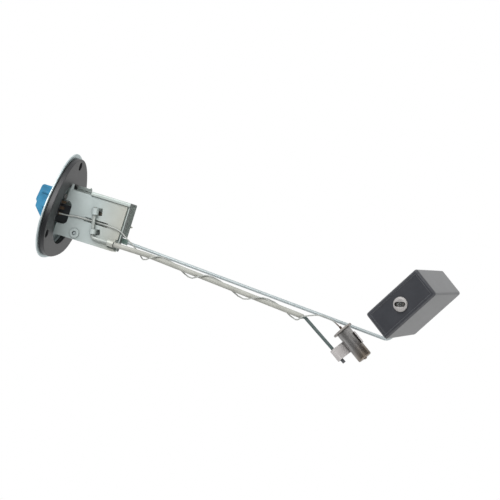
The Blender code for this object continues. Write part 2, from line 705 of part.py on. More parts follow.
def make_terminals():
    """Three blades, from the socket through the plate to a tail in the tank."""
    for name, x in zip(("terminal_lamp", "terminal_ground", "terminal_gauge"), terminal_places()):
        half = TERMINAL_WIDTH / 2
        top = CONNECTOR_TOP - TERMINAL_BLADE_TOP_GAP
        outline = rounded_outline([
            (x - half * 0.7, TERMINAL_TAIL_END, 0.3 * MM), (x + half * 0.7, TERMINAL_TAIL_END, 0.3 * MM),
            (x + half, TERMINAL_TAIL_END + 1.5 * MM, 0.0), (x + half, top - 1.2 * MM, 0.0),
            (x + half * 0.4, top, 0.0), (x - half * 0.4, top, 0.0),
            (x - half, top - 1.2 * MM, 0.0), (x - half, TERMINAL_TAIL_END + 1.5 * MM, 0.0)], 2)
        y = TERMINAL_ROW[1]
        add_object(name, prism(outline, "Y", y - TERMINAL_THICKNESS / 2, y + TERMINAL_THICKNESS / 2), "brass")


def make_insulator():
    """Strip under the plate with a round boss at each terminal and a web behind the notch."""
    x, y = TERMINAL_ROW
    reach = TERMINAL_PITCH + INSULATOR_BOSS_RADIUS + INSULATOR_MARGIN
    width = INSULATOR_BOSS_RADIUS + INSULATOR_MARGIN / 3
    top = PAD_UNDER - GAP
    outline = rounded_outline([(x - reach, y - width, 1.2 * MM), (x + reach, y - width, 1.2 * MM),
                               (x + reach, y + width, 1.2 * MM), (x - reach, y + width, 1.2 * MM)])
    strip = add_object("terminal_insulator", prism(outline, "Z", top - INSULATOR_THICKNESS, top), "dark_plastic")
    low = top - INSULATOR_THICKNESS - INSULATOR_BOSS_HEIGHT
    bosses = [shifted(rod(INSULATOR_BOSS_RADIUS, low, top - INSULATOR_THICKNESS / 2, 12), place, y, 0.0)
              for place in terminal_places()]
    change(strip, together(bosses), "UNION", "insulator_bosses")
    web = rounded_outline([
        (NOTCH_LOW_X + GAP, top - INSULATOR_THICKNESS / 4, 0.0), (NOTCH_LOW_X + GAP, INSULATOR_WEB_END_Z, 2.0 * MM),
        (INSULATOR_WEB_HIGH_X, INSULATOR_WEB_END_Z, 2.0 * MM),
        (INSULATOR_WEB_HIGH_X, top - INSULATOR_THICKNESS / 4, 0.0)])
    front = y + width - GAP / 2
    change(strip, prism(web, "Y", front, front + INSULATOR_WEB_THICKNESS), "UNION", "insulator_web")
    half_width = TERMINAL_WIDTH / 2 + SLIDE_GAP
    half_thickness = TERMINAL_THICKNESS / 2 + SLIDE_GAP
    slots = [box((place - half_width, y - half_thickness, low - GAP), (place + half_width, y + half_thickness,
                                                                       top + GAP))
             for place in terminal_places()]
    change(strip, together(slots), "DIFFERENCE", "insulator_slots")


def rivet(place, low, high):
    """A rivet with a low round head above high and a flat upset head below low."""
    dome = [(RIVET_HEAD_RADIUS, high + GAP), (RIVET_HEAD_RADIUS * 0.8, high + GAP + RIVET_HEAD_HEIGHT * 0.75),
            (0.0, high + GAP + RIVET_HEAD_HEIGHT)]
    profile = [(0.0, low - GAP - RIVET_HEAD_HEIGHT), (RIVET_HEAD_RADIUS, low - GAP - RIVET_HEAD_HEIGHT),
               (RIVET_HEAD_RADIUS, low - GAP), (RIVET_RADIUS, low - GAP), (RIVET_RADIUS, high + GAP), *dome]
    return shifted(turned(profile, 16), place[0], place[1], 0.0)


def make_rivets():
    """Two rivets hold the connector's lug and two the tray's foot."""
    for number, place in enumerate(connector_rivet_places(), 1):
        add_object(f"connector_rivet_{number}", rivet(place, PAD_UNDER, CONNECTOR_BASE + LUG_THICKNESS), "tin")
    for number, place in enumerate(foot_rivet_places(), 1):
        add_object(f"housing_rivet_{number}", rivet(place, HOUSING_TOP_Z - SHEET, PAD_TOP), "tin")


# Housing

def make_tray():
    """Rear wall, hemmed top wall, end strip, foot and ear, folded from one sheet."""
    high, low = HOUSING_HIGH_X, HOUSING_LOW_X
    section = rounded_outline([
        (high - HEM_WIDTH, HEM_Y + SHEET, 0.0), (high - HEM_WIDTH, HEM_Y, 0.0),
        (high, HEM_Y, FOLD_RADIUS), (high, REAR_Y, FOLD_RADIUS), (low, REAR_Y, 0.0),
        (low, WALL_INNER_Y, 0.0), (high - SHEET, WALL_INNER_Y, FOLD_RADIUS - SHEET),
        (high - SHEET, HEM_Y + SHEET, FOLD_RADIUS - SHEET)])
    tray = add_object("housing_tray", prism(section, "Z", HOUSING_END_Z, HOUSING_TOP_Z), "panel_zinc")
    cuts = [
        box((high - HEM_WIDTH - SHEET, HEM_Y - SHEET, TOP_WALL_START_Z),
            (high + SHEET, REAR_Y - FOLD_RADIUS, HOUSING_TOP_Z + SHEET)),
        box((low - SHEET, WALL_INNER_Y - SHEET, HOUSING_END_Z - SHEET),
            (REAR_CORNER_X, REAR_Y + SHEET, REAR_CORNER_Z)),
    ]
    change(tray, together(cuts), "DIFFERENCE", "tray_cuts")
    bearing = moved(rod(BUSH_RADIUS + SLIDE_GAP, WALL_INNER_Y - SHEET, REAR_Y + SHEET), ALONG_Y)
    change(tray, shifted(bearing, PIVOT[0], 0.0, PIVOT[1]), "DIFFERENCE", "tray_bush_hole")
    strip = rounded_outline([
        (END_STRIP_LOW_X, FRONT_Y, 0.0), (high - SHEET / 2, FRONT_Y, 0.0),
        (high - SHEET / 2, FRONT_Y + END_STRIP_WIDTH, 0.0), (END_STRIP_LOW_X, FRONT_Y + END_STRIP_WIDTH, 1.5 * MM)])
    change(tray, prism(strip, "Z", HOUSING_END_Z, HOUSING_END_Z + SHEET), "UNION", "tray_end_strip")
    middle = (high + low) / 2
    foot = rounded_outline([
        (middle - REAR_FOOT_LENGTH / 2, WALL_INNER_Y + SHEET / 2, 0.0),
        (middle + REAR_FOOT_LENGTH / 2, WALL_INNER_Y + SHEET / 2, 0.0),
        (middle + REAR_FOOT_LENGTH / 2, REAR_Y + REAR_FOOT_REACH, 2.5 * MM),
        (middle - REAR_FOOT_LENGTH / 2, REAR_Y + REAR_FOOT_REACH, 2.5 * MM)])
    change(tray, prism(foot, "Z", HOUSING_TOP_Z - SHEET, HOUSING_TOP_Z), "UNION", "tray_foot")
    change(tray, holes(foot_rivet_places(), RIVET_RADIUS + GAP, HOUSING_TOP_Z - 2 * SHEET,
                       HOUSING_TOP_Z + SHEET), "DIFFERENCE", "tray_rivet_holes")
    ear = [
        (high - 2 * FOLD_RADIUS, HOUSING_TOP_Z), (high - 2 * FOLD_RADIUS, EAR_ROOT_Z),
        (EAR_HIGH_X - EAR_BAR_WIDTH, EAR_ROOT_Z), (EAR_HIGH_X - EAR_BAR_WIDTH, EAR_END_Z),
        (EAR_HIGH_X, EAR_END_Z), (EAR_HIGH_X + EAR_HOOK, EAR_END_Z + EAR_HOOK),
        (EAR_HIGH_X, EAR_END_Z + 2 * EAR_HOOK), (EAR_HIGH_X, HOUSING_TOP_Z),
    ]
    change(tray, prism(ear, "Y", WALL_INNER_Y, REAR_Y), "UNION", "tray_ear")
    beside_neck = box((TRAY_NECK_HIGH_X, WALL_INNER_Y - 2 * SHEET, -GAP),
                      (EAR_HIGH_X + SHEET, REAR_Y + SHEET, HOUSING_TOP_Z + SHEET))
    change(tray, beside_neck, "DIFFERENCE", "tray_neck")


def panel_outline():
    """Outline of the front sheet in X-Z, with the notch and the corner ear."""
    return rounded_outline([
        (HOUSING_LOW_X, PANEL_LOW_TOP_Z, 0.0), (HOUSING_LOW_X, PANEL_END_Z + PANEL_CORNER_GAP, 0.6 * MM),
        (PANEL_CORNER_X, PANEL_END_Z + PANEL_CORNER_GAP, 0.3 * MM), (PANEL_CORNER_X, PANEL_END_Z, 0.4 * MM),
        (PANEL_HIGH_X, PANEL_END_Z, 0.8 * MM), (PANEL_HIGH_X, TOP_WALL_START_Z - GAP, 0.0),
        (PANEL_STEP_X, TOP_WALL_START_Z - GAP, 0.0), (PANEL_STEP_X, PANEL_EAR_END_Z, 0.4 * MM),
        (PANEL_EAR_HIGH_X, PANEL_EAR_END_Z + 0.6 * MM, 0.5 * MM),
        (PANEL_EAR_HIGH_X, PANEL_EAR_END_Z + 1.7 * MM, 0.4 * MM),
        (PANEL_HIGH_X + 1.0 * MM, -GAP - 0.2 * MM, 0.0),
        (PANEL_HIGH_X - 2.0 * MM, -GAP, 0.0),
        (NOTCH_HIGH_X, PANEL_HIGH_TOP_Z, 0.4 * MM),
        (NOTCH_HIGH_X, NOTCH_DEPTH_Z, NOTCH_ROUND), (NOTCH_LOW_X, NOTCH_DEPTH_Z, NOTCH_ROUND),
        (NOTCH_LOW_X, PANEL_LOW_TOP_Z, 0.4 * MM)])


def crimp_settings():
    """Each crimp tab on the panel.

    Its values are its centre on the rod, the rod's run, the way out of the panel, the foot's
    side, the tab's width and its window's length.
    """
    top, corner = Vector((ROD_TOP[0], ROD_Y, ROD_TOP[1])), Vector((ROD_CORNER[0], ROD_Y, ROD_CORNER[1]))
    across = (corner - top).normalized()
    last = rod_at(ROD_SLEEVE_TOP_Z)
    down = (last - corner).normalized()
    away = Vector((0, -1, 0))
    return [
        (top + across * CRIMP_PLACES[0], across, away, -across.cross(away), CRIMP_WIDTHS[0],
         WINDOW_LENGTHS[0]),
        (top + across * CRIMP_PLACES[1], across, away, -across.cross(away), CRIMP_WIDTHS[1],
         WINDOW_LENGTHS[1]),
        (last - down * (CRIMP_WIDTHS[2] / 2 + GAP * 2), down, away, down.cross(away), CRIMP_WIDTHS[2],
         WINDOW_LENGTHS[2]),
    ]


def make_panel():
    """Front sheet and bottom wall, with the notch, the lanced channel and the crimp tabs."""
    panel = add_object("front_panel", prism(panel_outline(), "Y", FRONT_Y, PANEL_INNER_Y), "panel_zinc")
    wall_rear = WALL_INNER_Y - GAP
    bottom = rounded_outline([
        (FRONT_Y + SHEET / 2, PANEL_LOW_TOP_Z, 0.0), (wall_rear, PANEL_LOW_TOP_Z, 1.0 * MM),
        (wall_rear, BOTTOM_WALL_END_Z, 1.0 * MM), (FRONT_Y + SHEET / 2, BOTTOM_WALL_END_Z, 0.0)])
    walls = [prism(bottom, "X", HOUSING_LOW_X, BOTTOM_INNER_X), stop_tab()]
    change(panel, walls[0], "UNION", "panel_bottom_wall")
    change(panel, walls[1], "UNION", "panel_stop_tab")
    hole = moved(rod(BUSH_RADIUS + SLIDE_GAP, FRONT_Y - SHEET, PANEL_INNER_Y + SHEET), ALONG_Y)
    change(panel, shifted(hole, PIVOT[0], 0.0, PIVOT[1]), "DIFFERENCE", "panel_bush_hole")
    opening = CHANNEL_WIDTH / 2 + CHANNEL_SLIT
    slot = box((CHANNEL_CENTRE_X - opening, FRONT_Y - SHEET, CHANNEL_END_Z + CHANNEL_RAMP / 2),
               (CHANNEL_CENTRE_X + opening, PANEL_INNER_Y + SHEET, CHANNEL_START_Z - CHANNEL_RAMP / 2))
    change(panel, slot, "DIFFERENCE", "channel_slot")
    middle = FRONT_Y + SHEET / 2
    bed = strip_outline([
        (middle, CHANNEL_START_Z + GAP), (middle, CHANNEL_START_Z - CHANNEL_RAMP / 3),
        (middle + CHANNEL_DEPTH, CHANNEL_START_Z - CHANNEL_RAMP * 1.5),
        (middle + CHANNEL_DEPTH, CHANNEL_END_Z + CHANNEL_RAMP * 1.5),
        (middle, CHANNEL_END_Z + CHANNEL_RAMP / 3), (middle, CHANNEL_END_Z - GAP)], SHEET * 0.9)
    half = CHANNEL_WIDTH / 2
    change(panel, prism(bed, "X", CHANNEL_CENTRE_X - half, CHANNEL_CENTRE_X + half), "UNION", "channel_bed")
    reach = ROD_RADIUS + GAP + SHEET
    windows, tabs = [], []
    for centre, along, away, foot, width, length in crimp_settings():
        low, high, half = reach - GAP, reach + length, width / 2 + GAP
        window = prism(rounded_outline([(-half, low, 0.0), (half, low, 0.0), (half, high, WINDOW_ROUND),
                                        (-half, high, WINDOW_ROUND)], 3), "Y", -2 * SHEET, 2 * SHEET)
        matrix = Matrix((along, away, foot)).transposed().to_4x4()
        matrix.translation = Vector((centre.x, FRONT_Y + SHEET / 2, centre.z))
        windows.append(moved(window, matrix))
        drop = FRONT_Y + SHEET / 2 - ROD_Y
        tabs.append(crimp_tab(centre, along, away, foot, ROD_RADIUS, SHEET, drop, width))
    change(panel, together(windows), "DIFFERENCE", "crimp_windows")
    change(panel, together(tabs), "UNION", "crimp_tabs")


def lever_low_edge(z):
    """X of the lever's low edge at a height, in the rest position."""
    start, end = lever_corners()[:2]
    share = (z - PIVOT[1] - start[1]) / (end[1] - start[1])
    return PIVOT[0] + start[0] + (end[0] - start[0]) * share


def stop_tab():
    """Tab bent up from the bottom wall, just under the lever at rest."""
    low_z, high_z = STOP_TAB_Z - STOP_TAB_LENGTH / 2, STOP_TAB_Z + STOP_TAB_LENGTH / 2
    clear = GAP * 1.1
    outline = [(BOTTOM_INNER_X - SHEET / 2, low_z), (lever_low_edge(low_z) - clear, low_z),
               (lever_low_edge(high_z) - clear, high_z), (BOTTOM_INNER_X - SHEET / 2, high_z)]
    return prism(outline, "Y", LEVER_BACK_Y - SHEET, LEVER_FACE_Y + SHEET)


def bush(face_y, outward):
    """Flanged bush in a wall: its flange lies on face_y, and it runs inward from there."""
    profile = [
        (SHAFT_RADIUS + SLIDE_GAP, -SHEET - BUSH_LIP), (BUSH_RADIUS, -SHEET - BUSH_LIP), (BUSH_RADIUS, GAP),
        (BUSH_FLANGE_RADIUS, GAP), (BUSH_FLANGE_RADIUS, GAP + BUSH_FLANGE_THICKNESS * 0.6),
        (BUSH_FLANGE_RADIUS - BUSH_FLANGE_THICKNESS * 0.4, GAP + BUSH_FLANGE_THICKNESS),
        (SHAFT_RADIUS + SLIDE_GAP, GAP + BUSH_FLANGE_THICKNESS)]
    matrix = facing((PIVOT[0], face_y, PIVOT[1]), (1, 0, 0), (0, outward, 0))
    return moved(turned(profile, 24, closed=True), matrix)


def make_bushes():
    """One flanged bush in the panel and one in the tray."""
    add_object("front_bush", bush(FRONT_Y, -1), "zinc")
    add_object("rear_bush", bush(REAR_Y, 1), "zinc")


# Float arm

def lever_corners():
    """Corners of the lever from its low edge round, seen from the pivot, as (u, w)."""
    start = (-LEVER_HUB_RADIUS * 0.5, -LEVER_HUB_RADIUS * 0.87)
    offset = ARM_TOP - PIVOT_POINT
    line_u = [offset.x + ARM_ALONG.x / ARM_ALONG.z * (w - offset.z) for w in (-LEVER_LENGTH, 1.5 * MM)]
    return [start, (line_u[0] - LEVER_HALF_WIDTH, -LEVER_LENGTH), (line_u[0] + LEVER_HALF_WIDTH, -LEVER_LENGTH),
            (line_u[1] + LEVER_HALF_WIDTH, 1.5 * MM)]


def make_lever(arm):
    """Stamped lever: a hub on the shaft and two crimp tabs on the wire."""
    hub = arc((0.0, 0.0), LEVER_HUB_RADIUS, 70.0, 240.0, 12)
    outline = [*hub, *lever_corners()[1:]]
    outline = [(PIVOT[0] + u, PIVOT[1] + w) for u, w in outline]
    lever = add_object("lever_plate", prism(outline, "Y", LEVER_BACK_Y, LEVER_FACE_Y), "zinc",
                       PIVOT_POINT, arm)
    collar = moved(rod(LEVER_HUB_RADIUS * 0.8, LEVER_BACK_Y - LEVER_HUB_LENGTH, LEVER_BACK_Y + SHEET / 2), ALONG_Y)
    change(lever, shifted(collar, PIVOT[0], 0.0, PIVOT[1]), "UNION", "lever_hub")
    bore = moved(rod(SHAFT_RADIUS + SLIDE_GAP, LEVER_BACK_Y - LEVER_HUB_LENGTH - SHEET, LEVER_FACE_Y + SHEET),
                 ALONG_Y)
    change(lever, shifted(bore, PIVOT[0], 0.0, PIVOT[1]), "DIFFERENCE", "lever_bore")
    side = ARM_ALONG.cross(Vector((0, 1, 0)))
    drop = LEVER_THICKNESS / 2 - LEVER_FACE_Y
    tabs = []
    for distance in LEVER_CRIMPS:
        tabs.append(crimp_tab(ARM_TOP + ARM_ALONG * distance, ARM_ALONG, (0, 1, 0), side,
                              ARM_RADIUS, LEVER_THICKNESS * 0.7, drop, CRIMP_WIDTH))
    change(lever, together(tabs), "UNION", "lever_crimps")


def make_shaft(arm):
    """Pivot shaft between the two bushes, and the ring that keeps it in."""
    front = FRONT_Y - GAP - BUSH_FLANGE_THICKNESS + SHAFT_RECESS
    rear = REAR_Y + GAP + BUSH_FLANGE_THICKNESS + GAP
    profile = [(0.0, front), (SHAFT_RADIUS * 0.8, front), (SHAFT_RADIUS, front + 0.3 * MM),
               (SHAFT_RADIUS, rear), (0.0, rear)]
    shaft = moved(turned(profile, 20), ALONG_Y)
    add_object("pivot_shaft", shifted(shaft, PIVOT[0], 0.0, PIVOT[1]), "zinc", PIVOT_POINT, arm)
    start = WALL_INNER_Y - BUSH_LIP - RETAINER_FROM_WALL
    retainer = moved(ring(RETAINER_RADIUS, SHAFT_RADIUS + SLIDE_GAP, start - RETAINER_THICKNESS, start, 24), ALONG_Y)
    add_object("shaft_retainer", shifted(retainer, PIVOT[0], 0.0, PIVOT[1]), "zinc", PIVOT_POINT, arm)


def make_wiper(arm):
    """Spring leaf from the shaft to the card, and the contact at its end."""
    tip_x, tip_z = pivot_ray(WIPER_ANGLE, WIPER_RADIUS)
    along = Vector((tip_x - PIVOT[0], 0.0, tip_z - PIVOT[1])).normalized()
    face = WINDING_FRONT_Y - GAP
    seat = face - CONTACT_HEIGHT - SLIDE_GAP
    leaf_front = seat - WIPER_THICKNESS
    hub_reach = SHAFT_RADIUS + SLIDE_GAP + 1.1 * MM
    leaf = rounded_outline([
        (-hub_reach, -hub_reach, hub_reach * 0.6), (WIPER_RADIUS + 1.6 * MM, -WIPER_WIDTH / 2, 0.8 * MM),
        (WIPER_RADIUS + 1.6 * MM, WIPER_WIDTH / 2, 0.8 * MM), (-hub_reach, hub_reach, hub_reach * 0.6)])
    matrix = Matrix((along, along.cross(Vector((0, -1, 0))), Vector((0, 1, 0)))).transposed().to_4x4()
    matrix.translation = PIVOT_POINT
    spring = add_object("wiper_spring", moved(prism(leaf, "Z", leaf_front, seat), matrix), "brass",
                        PIVOT_POINT, arm)
    bore = moved(rod(SHAFT_RADIUS + SLIDE_GAP, leaf_front - SHEET, seat + SHEET), ALONG_Y)
    change(spring, shifted(bore, PIVOT[0], 0.0, PIVOT[1]), "DIFFERENCE", "wiper_bore")
    rivet_hole = moved(rod(CONTACT_RADIUS * 0.5 + SLIDE_GAP, leaf_front - SHEET, seat + SHEET, 12), ALONG_Y)
    change(spring, shifted(rivet_hole, tip_x, 0.0, tip_z), "DIFFERENCE", "contact_hole")
    stem = CONTACT_RADIUS * 0.5
    profile = [(0.0, leaf_front - GAP), (stem, leaf_front - GAP), (stem, seat + SLIDE_GAP),
               (CONTACT_RADIUS, seat + SLIDE_GAP), (CONTACT_RADIUS, (seat + face) / 2 + SLIDE_GAP / 2),
               (CONTACT_RADIUS * 0.6, face), (0.0, face)]
    contact = moved(turned(profile, 16), ALONG_Y)
    add_object("wiper_contact", shifted(contact, tip_x, 0.0, tip_z), "brass", (tip_x, 0.0, tip_z), arm)


def card_turn(length):
    """Angle in degrees of a length along the wiper's path."""
    return math.degrees(length / WIPER_RADIUS)


def sector(inner, outer, start, end, steps):
    """Outline of a ring sector about the pivot, its angles in degrees from -Z towards +X."""
    turns = [start + (end - start) * step / steps for step in range(steps + 1)]
    return [pivot_ray(turn, outer) for turn in turns] + [pivot_ray(turn, inner) for turn in turns[::-1]]


def make_card():
    """Resistor card, the winding round it and the eyelets that carry it."""
    inner, outer = WIPER_RADIUS - CARD_HALF_WIDTH, WIPER_RADIUS + CARD_HALF_WIDTH
    card = add_object("resistor_card", prism(sector(inner, outer, *CARD_ANGLES, 24), "Y", CARD_FRONT_Y,
                                             CARD_BACK_Y), "phenolic")
    inset = card_turn(EYELET_FLANGE_RADIUS + 2 * GAP)
    places = [pivot_ray(CARD_ANGLES[0] + inset, WIPER_RADIUS), pivot_ray(CARD_ANGLES[1] - inset, WIPER_RADIUS)]
    bores = [shifted(moved(rod(EYELET_RADIUS + SLIDE_GAP, CARD_FRONT_Y - SHEET, CARD_BACK_Y + SHEET, 16), ALONG_Y),
                     x, 0.0, z) for x, z in places]
    change(card, together(bores), "DIFFERENCE", "card_holes")
    for number, (x, z) in enumerate(places, 1):
        add_object(f"card_eyelet_{number}", shifted(moved(eyelet(), ALONG_Y), x, 0.0, z), "brass")
    ends = (CARD_ANGLES[0] + 2.1 * inset, CARD_ANGLES[1] - 2.1 * inset)
    add_object("resistor_winding", winding(inner, outer, *ends), "resistance_wire")
    return places


def eyelet():
    """Hollow spacer with a flange on the card's face, up to the tray's wall."""
    front = CARD_FRONT_Y - SLIDE_GAP
    back = CARD_BACK_Y + SLIDE_GAP
    profile = [(EYELET_BORE_RADIUS, front - EYELET_FLANGE_THICKNESS), (EYELET_FLANGE_RADIUS, front - EYELET_FLANGE_THICKNESS),
               (EYELET_FLANGE_RADIUS, front), (EYELET_RADIUS, front), (EYELET_RADIUS, back),
               (EYELET_FLANGE_RADIUS, back), (EYELET_FLANGE_RADIUS, WALL_INNER_Y - GAP),
               (EYELET_BORE_RADIUS, WALL_INNER_Y - GAP)]
    return turned(profile, 16, closed=True)


def winding(inner, outer, start, end):
    """Ribbed tube of square section round the card, swept about the pivot."""
    solid = bmesh.new()
    loops = []
    for step in range(2 * WINDING_TURNS + 1):
        turn = start + (end - start) * step / (2 * WINDING_TURNS)
        ridge = WINDING_RIDGE if step % 2 else 0.0
        reach = WINDING_THICKNESS + SLIDE_GAP
        outside = ((inner - reach - ridge, CARD_FRONT_Y - reach - ridge),
                   (outer + reach + ridge, CARD_BACK_Y + reach + ridge))
        inside = ((inner - SLIDE_GAP, CARD_FRONT_Y - SLIDE_GAP), (outer + SLIDE_GAP, CARD_BACK_Y + SLIDE_GAP))
        loop = []
        for (low_r, low_y), (high_r, high_y) in (outside, inside):
            for radius, y in ((low_r, low_y), (high_r, low_y), (high_r, high_y), (low_r, high_y)):
                x, z = pivot_ray(turn, radius)
                loop.append(solid.verts.new((x, y, z)))
        loops.append(loop)
    for here, ahead in zip(loops, loops[1:]):
        for first in (0, 4):
            for corner in range(4):
                after = (corner + 1) % 4
                solid.faces.new((here[first + corner], here[first + after],
                                 ahead[first + after], ahead[first + corner]))
    for loop in (loops[0], loops[-1]):
        for corner in range(4):
            after = (corner + 1) % 4
            solid.faces.new((loop[corner], loop[after], loop[4 + after], loop[4 + corner]))
    bmesh.ops.recalc_face_normals(solid, faces=solid.faces)
    return solid


def make_gauge_lead(card_end):
    """Insulated wire from the card's far eyelet to the gauge terminal."""
    x = terminal_places()[2]
    wall = WALL_INNER_Y - GAP - GAUGE_LEAD_RADIUS * 2
    near_tail = TERMINAL_ROW[1] + TERMINAL_THICKNESS / 2 + GAP + GAUGE_LEAD_RADIUS
    on_eyelet = CARD_FRONT_Y - SLIDE_GAP - EYELET_FLANGE_THICKNESS - GAP - GAUGE_LEAD_RADIUS
    corners = [
        (card_end[0], on_eyelet, card_end[1]), (card_end[0] + 1.2 * MM, on_eyelet, card_end[1] + 2.4 * MM),
        (card_end[0] + 2.8 * MM, wall, card_end[1] + 6.2 * MM),
        (x + 4.0 * MM, wall, -3.5 * MM), (x + 1.2 * MM, wall - 4.0 * MM, 1.4 * MM),
        (x, near_tail, 1.6 * MM)]
    add_wire("gauge_lead", smooth_points(corners, 18), GAUGE_LEAD_RADIUS, "grey_lead", 2)


def make_arm(arm):
    """Bent wire from the lever to the float's axle, with the stop sleeve on it."""
    front_end = FLOAT_SEAT - FLOAT_AXLE * (FLOAT_DEPTH + PUSH_NUT_HEIGHT + GAP)
    path = round_path([ARM_TOP, ARM_CORNER, ARM_AXLE_POINT, front_end], (ARM_BEND_RADIUS, ARM_AXLE_RADIUS), 6)
    add_wire("float_arm", path, ARM_RADIUS, "zinc", 4, arm)
    frame = facing(ARM_TOP + ARM_ALONG * STOP_SLEEVE_START, (0, 1, 0), ARM_ALONG)
    bore, outer, length = ARM_RADIUS + GAP, STOP_SLEEVE_RADIUS, STOP_SLEEVE_LENGTH
    profile = [(bore, 0.0), (outer - GAP, 0.0), (outer, GAP), (outer, length - GAP), (outer - GAP, length),
               (bore, length)]
    add_object("stop_sleeve", moved(turned(profile, 24, closed=True), frame), "green_nylon",
               frame.translation, arm)


def make_float(arm):
    """Tapered block with a rim on its front face, bored for the wire, and the push nut."""
    frame = facing(FLOAT_SEAT, FLOAT_LONG, -FLOAT_AXLE)
    block = bmesh.new()
    bmesh.ops.create_cube(block, size=1.0)
    for vert in block.verts:
        share = 1.0 if vert.co.z > 0 else FLOAT_TAPER
        vert.co = Vector((vert.co.x * FLOAT_LENGTH * share, vert.co.y * FLOAT_WIDTH * share,
                          (vert.co.z + 0.5) * FLOAT_DEPTH))
    bmesh.ops.bevel(block, geom=block.edges, offset=FLOAT_ROUND, segments=3, profile=0.5, affect="EDGES")
    front = max(block.faces, key=lambda face: face.calc_center_median().z)
    bmesh.ops.inset_region(block, faces=[front], thickness=FLOAT_RIM, depth=0.0)
    bmesh.ops.inset_region(block, faces=[front], thickness=FLOAT_RIM_DEPTH, depth=-FLOAT_RIM_DEPTH)
    body = add_object("float", moved(block, frame), "float_foam", FLOAT_SEAT, arm)
    bore = rod(ARM_RADIUS + GAP, -SHEET, FLOAT_DEPTH + SHEET, 20)
    change(body, moved(bore, frame), "DIFFERENCE", "float_bore")
    seat = FLOAT_DEPTH - FLOAT_RIM_DEPTH + GAP
    top, wall = seat + PUSH_NUT_HEIGHT, PUSH_NUT_SHEET
    radius, grip = PUSH_NUT_RADIUS, ARM_RADIUS + GAP
    profile = [
        (radius, seat), (radius * 0.99, seat + PUSH_NUT_HEIGHT * 0.4), (radius * 0.9, top - wall * 0.5),
        (radius * 0.74, top - wall * 0.1), (radius * 0.5, top), (grip, top - GAP),
        (grip, top - GAP - wall), (radius * 0.5, top - wall), (radius * 0.72, top - wall * 1.1),
        (radius * 0.9 - wall * 0.8, top - wall * 1.6), (radius - wall, seat)]
    add_object("push_nut", moved(turned(profile, 28, closed=True), frame), "tin", FLOAT_SEAT, arm)


# Thermistor, its rod and its lead

def make_rod():
    """Bent rod on the panel and down to the can, with the pale sleeve on its straight run."""
    add_wire("sensor_rod", ROD_PATH, ROD_RADIUS, "zinc", 4)
    inner = [point for point in ROD_PATH if ROD_SLEEVE_END_Z < point.z < ROD_SLEEVE_TOP_Z]
    path = [rod_at(ROD_SLEEVE_TOP_Z), *inner, rod_at(ROD_SLEEVE_END_Z)]
    sleeve = swept_ring(path, ROD_SLEEVE_OUTER, ROD_RADIUS + SLIDE_GAP, 20)
    add_object("rod_sleeve", sleeve, "pale_sleeve", path[0])


def swept_ring(path, outer, inner, sides):
    """Tube of round section along a path that bends in the X-Z plane."""
    solid = bmesh.new()
    depth = Vector((0, 1, 0))
    rings = []
    for index, point in enumerate(path):
        along = path[min(index + 1, len(path) - 1)] - path[max(index - 1, 0)]
        across = depth.cross(along).normalized()
        loops = []
        for radius in (outer, inner):
            turns = [2 * math.pi * side / sides for side in range(sides)]
            loops.append([solid.verts.new(point + radius * (across * math.cos(turn) + depth * math.sin(turn)))
                          for turn in turns])
        rings.append(loops)
    pairs = [(here[side], ahead[side]) for here, ahead in zip(rings, rings[1:]) for side in (0, 1)]
    for here, ahead in [*pairs, rings[0], rings[-1]]:
        for side in range(sides):
            after = (side + 1) % sides
            solid.faces.new((here[side], here[after], ahead[after], ahead[side]))
    bmesh.ops.recalc_face_normals(solid, faces=solid.faces)
    return solid


def can_frame():
    """Frame of the can: Z down its axis from the collar, X towards the rod."""
    return facing(CAN_ORIGIN, (-1, 0, 0), CAN_DOWN)


def make_can():
    """Drawn can, the collar at its mouth and the contact pin."""
    radius, length = CAN_RADIUS, CAN_LENGTH
    body = [
        (0.0, COLLAR_THICKNESS + GAP), (radius, COLLAR_THICKNESS + GAP), (radius, length - CAN_ROUND),
        (radius - CAN_ROUND * 0.3, length - CAN_ROUND * 0.3), (radius - CAN_ROUND, length),
        (CAN_NIB_RADIUS, length), (CAN_NIB_RADIUS * 0.8, length + CAN_NIB_HEIGHT), (0.0, length + CAN_NIB_HEIGHT)]
    add_object("thermistor_can", moved(turned(body, 36), can_frame()), "tin", CAN_ORIGIN)
    bore = PIN_RADIUS + SLIDE_GAP
    collar = [(bore, 0.0), (COLLAR_RADIUS - GAP, 0.0), (COLLAR_RADIUS, GAP), (COLLAR_RADIUS, COLLAR_THICKNESS - GAP),
              (COLLAR_RADIUS - GAP, COLLAR_THICKNESS), (bore, COLLAR_THICKNESS)]
    add_object("can_collar", moved(turned(collar, 36, closed=True), can_frame()), "tin", CAN_ORIGIN)
    pin = turned([(0.0, -PIN_HEIGHT), (PIN_RADIUS * 0.7, -PIN_HEIGHT), (PIN_RADIUS, -PIN_HEIGHT + GAP),
                  (PIN_RADIUS, COLLAR_THICKNESS), (0.0, COLLAR_THICKNESS)], 16)
    add_object("can_pin", moved(pin, can_frame()), "brass", CAN_ORIGIN)


def rod_offset():
    """Distance from the can's axis to the rod's axis, across the can."""
    kink, end = Vector((*ROD_KINK,)), Vector((*ROD_END,))
    middle = CAN_ORIGIN + CAN_DOWN * (CLIP_START + CLIP_WIDTH / 2)
    across = can_frame().to_3x3().col[0]
    along = (end - kink).normalized()
    here, away = Vector((middle.x, middle.z)), Vector((across.x, across.z))
    gap = kink - here
    return (gap.x * along.y - gap.y * along.x) / (away.x * along.y - away.y * along.x)


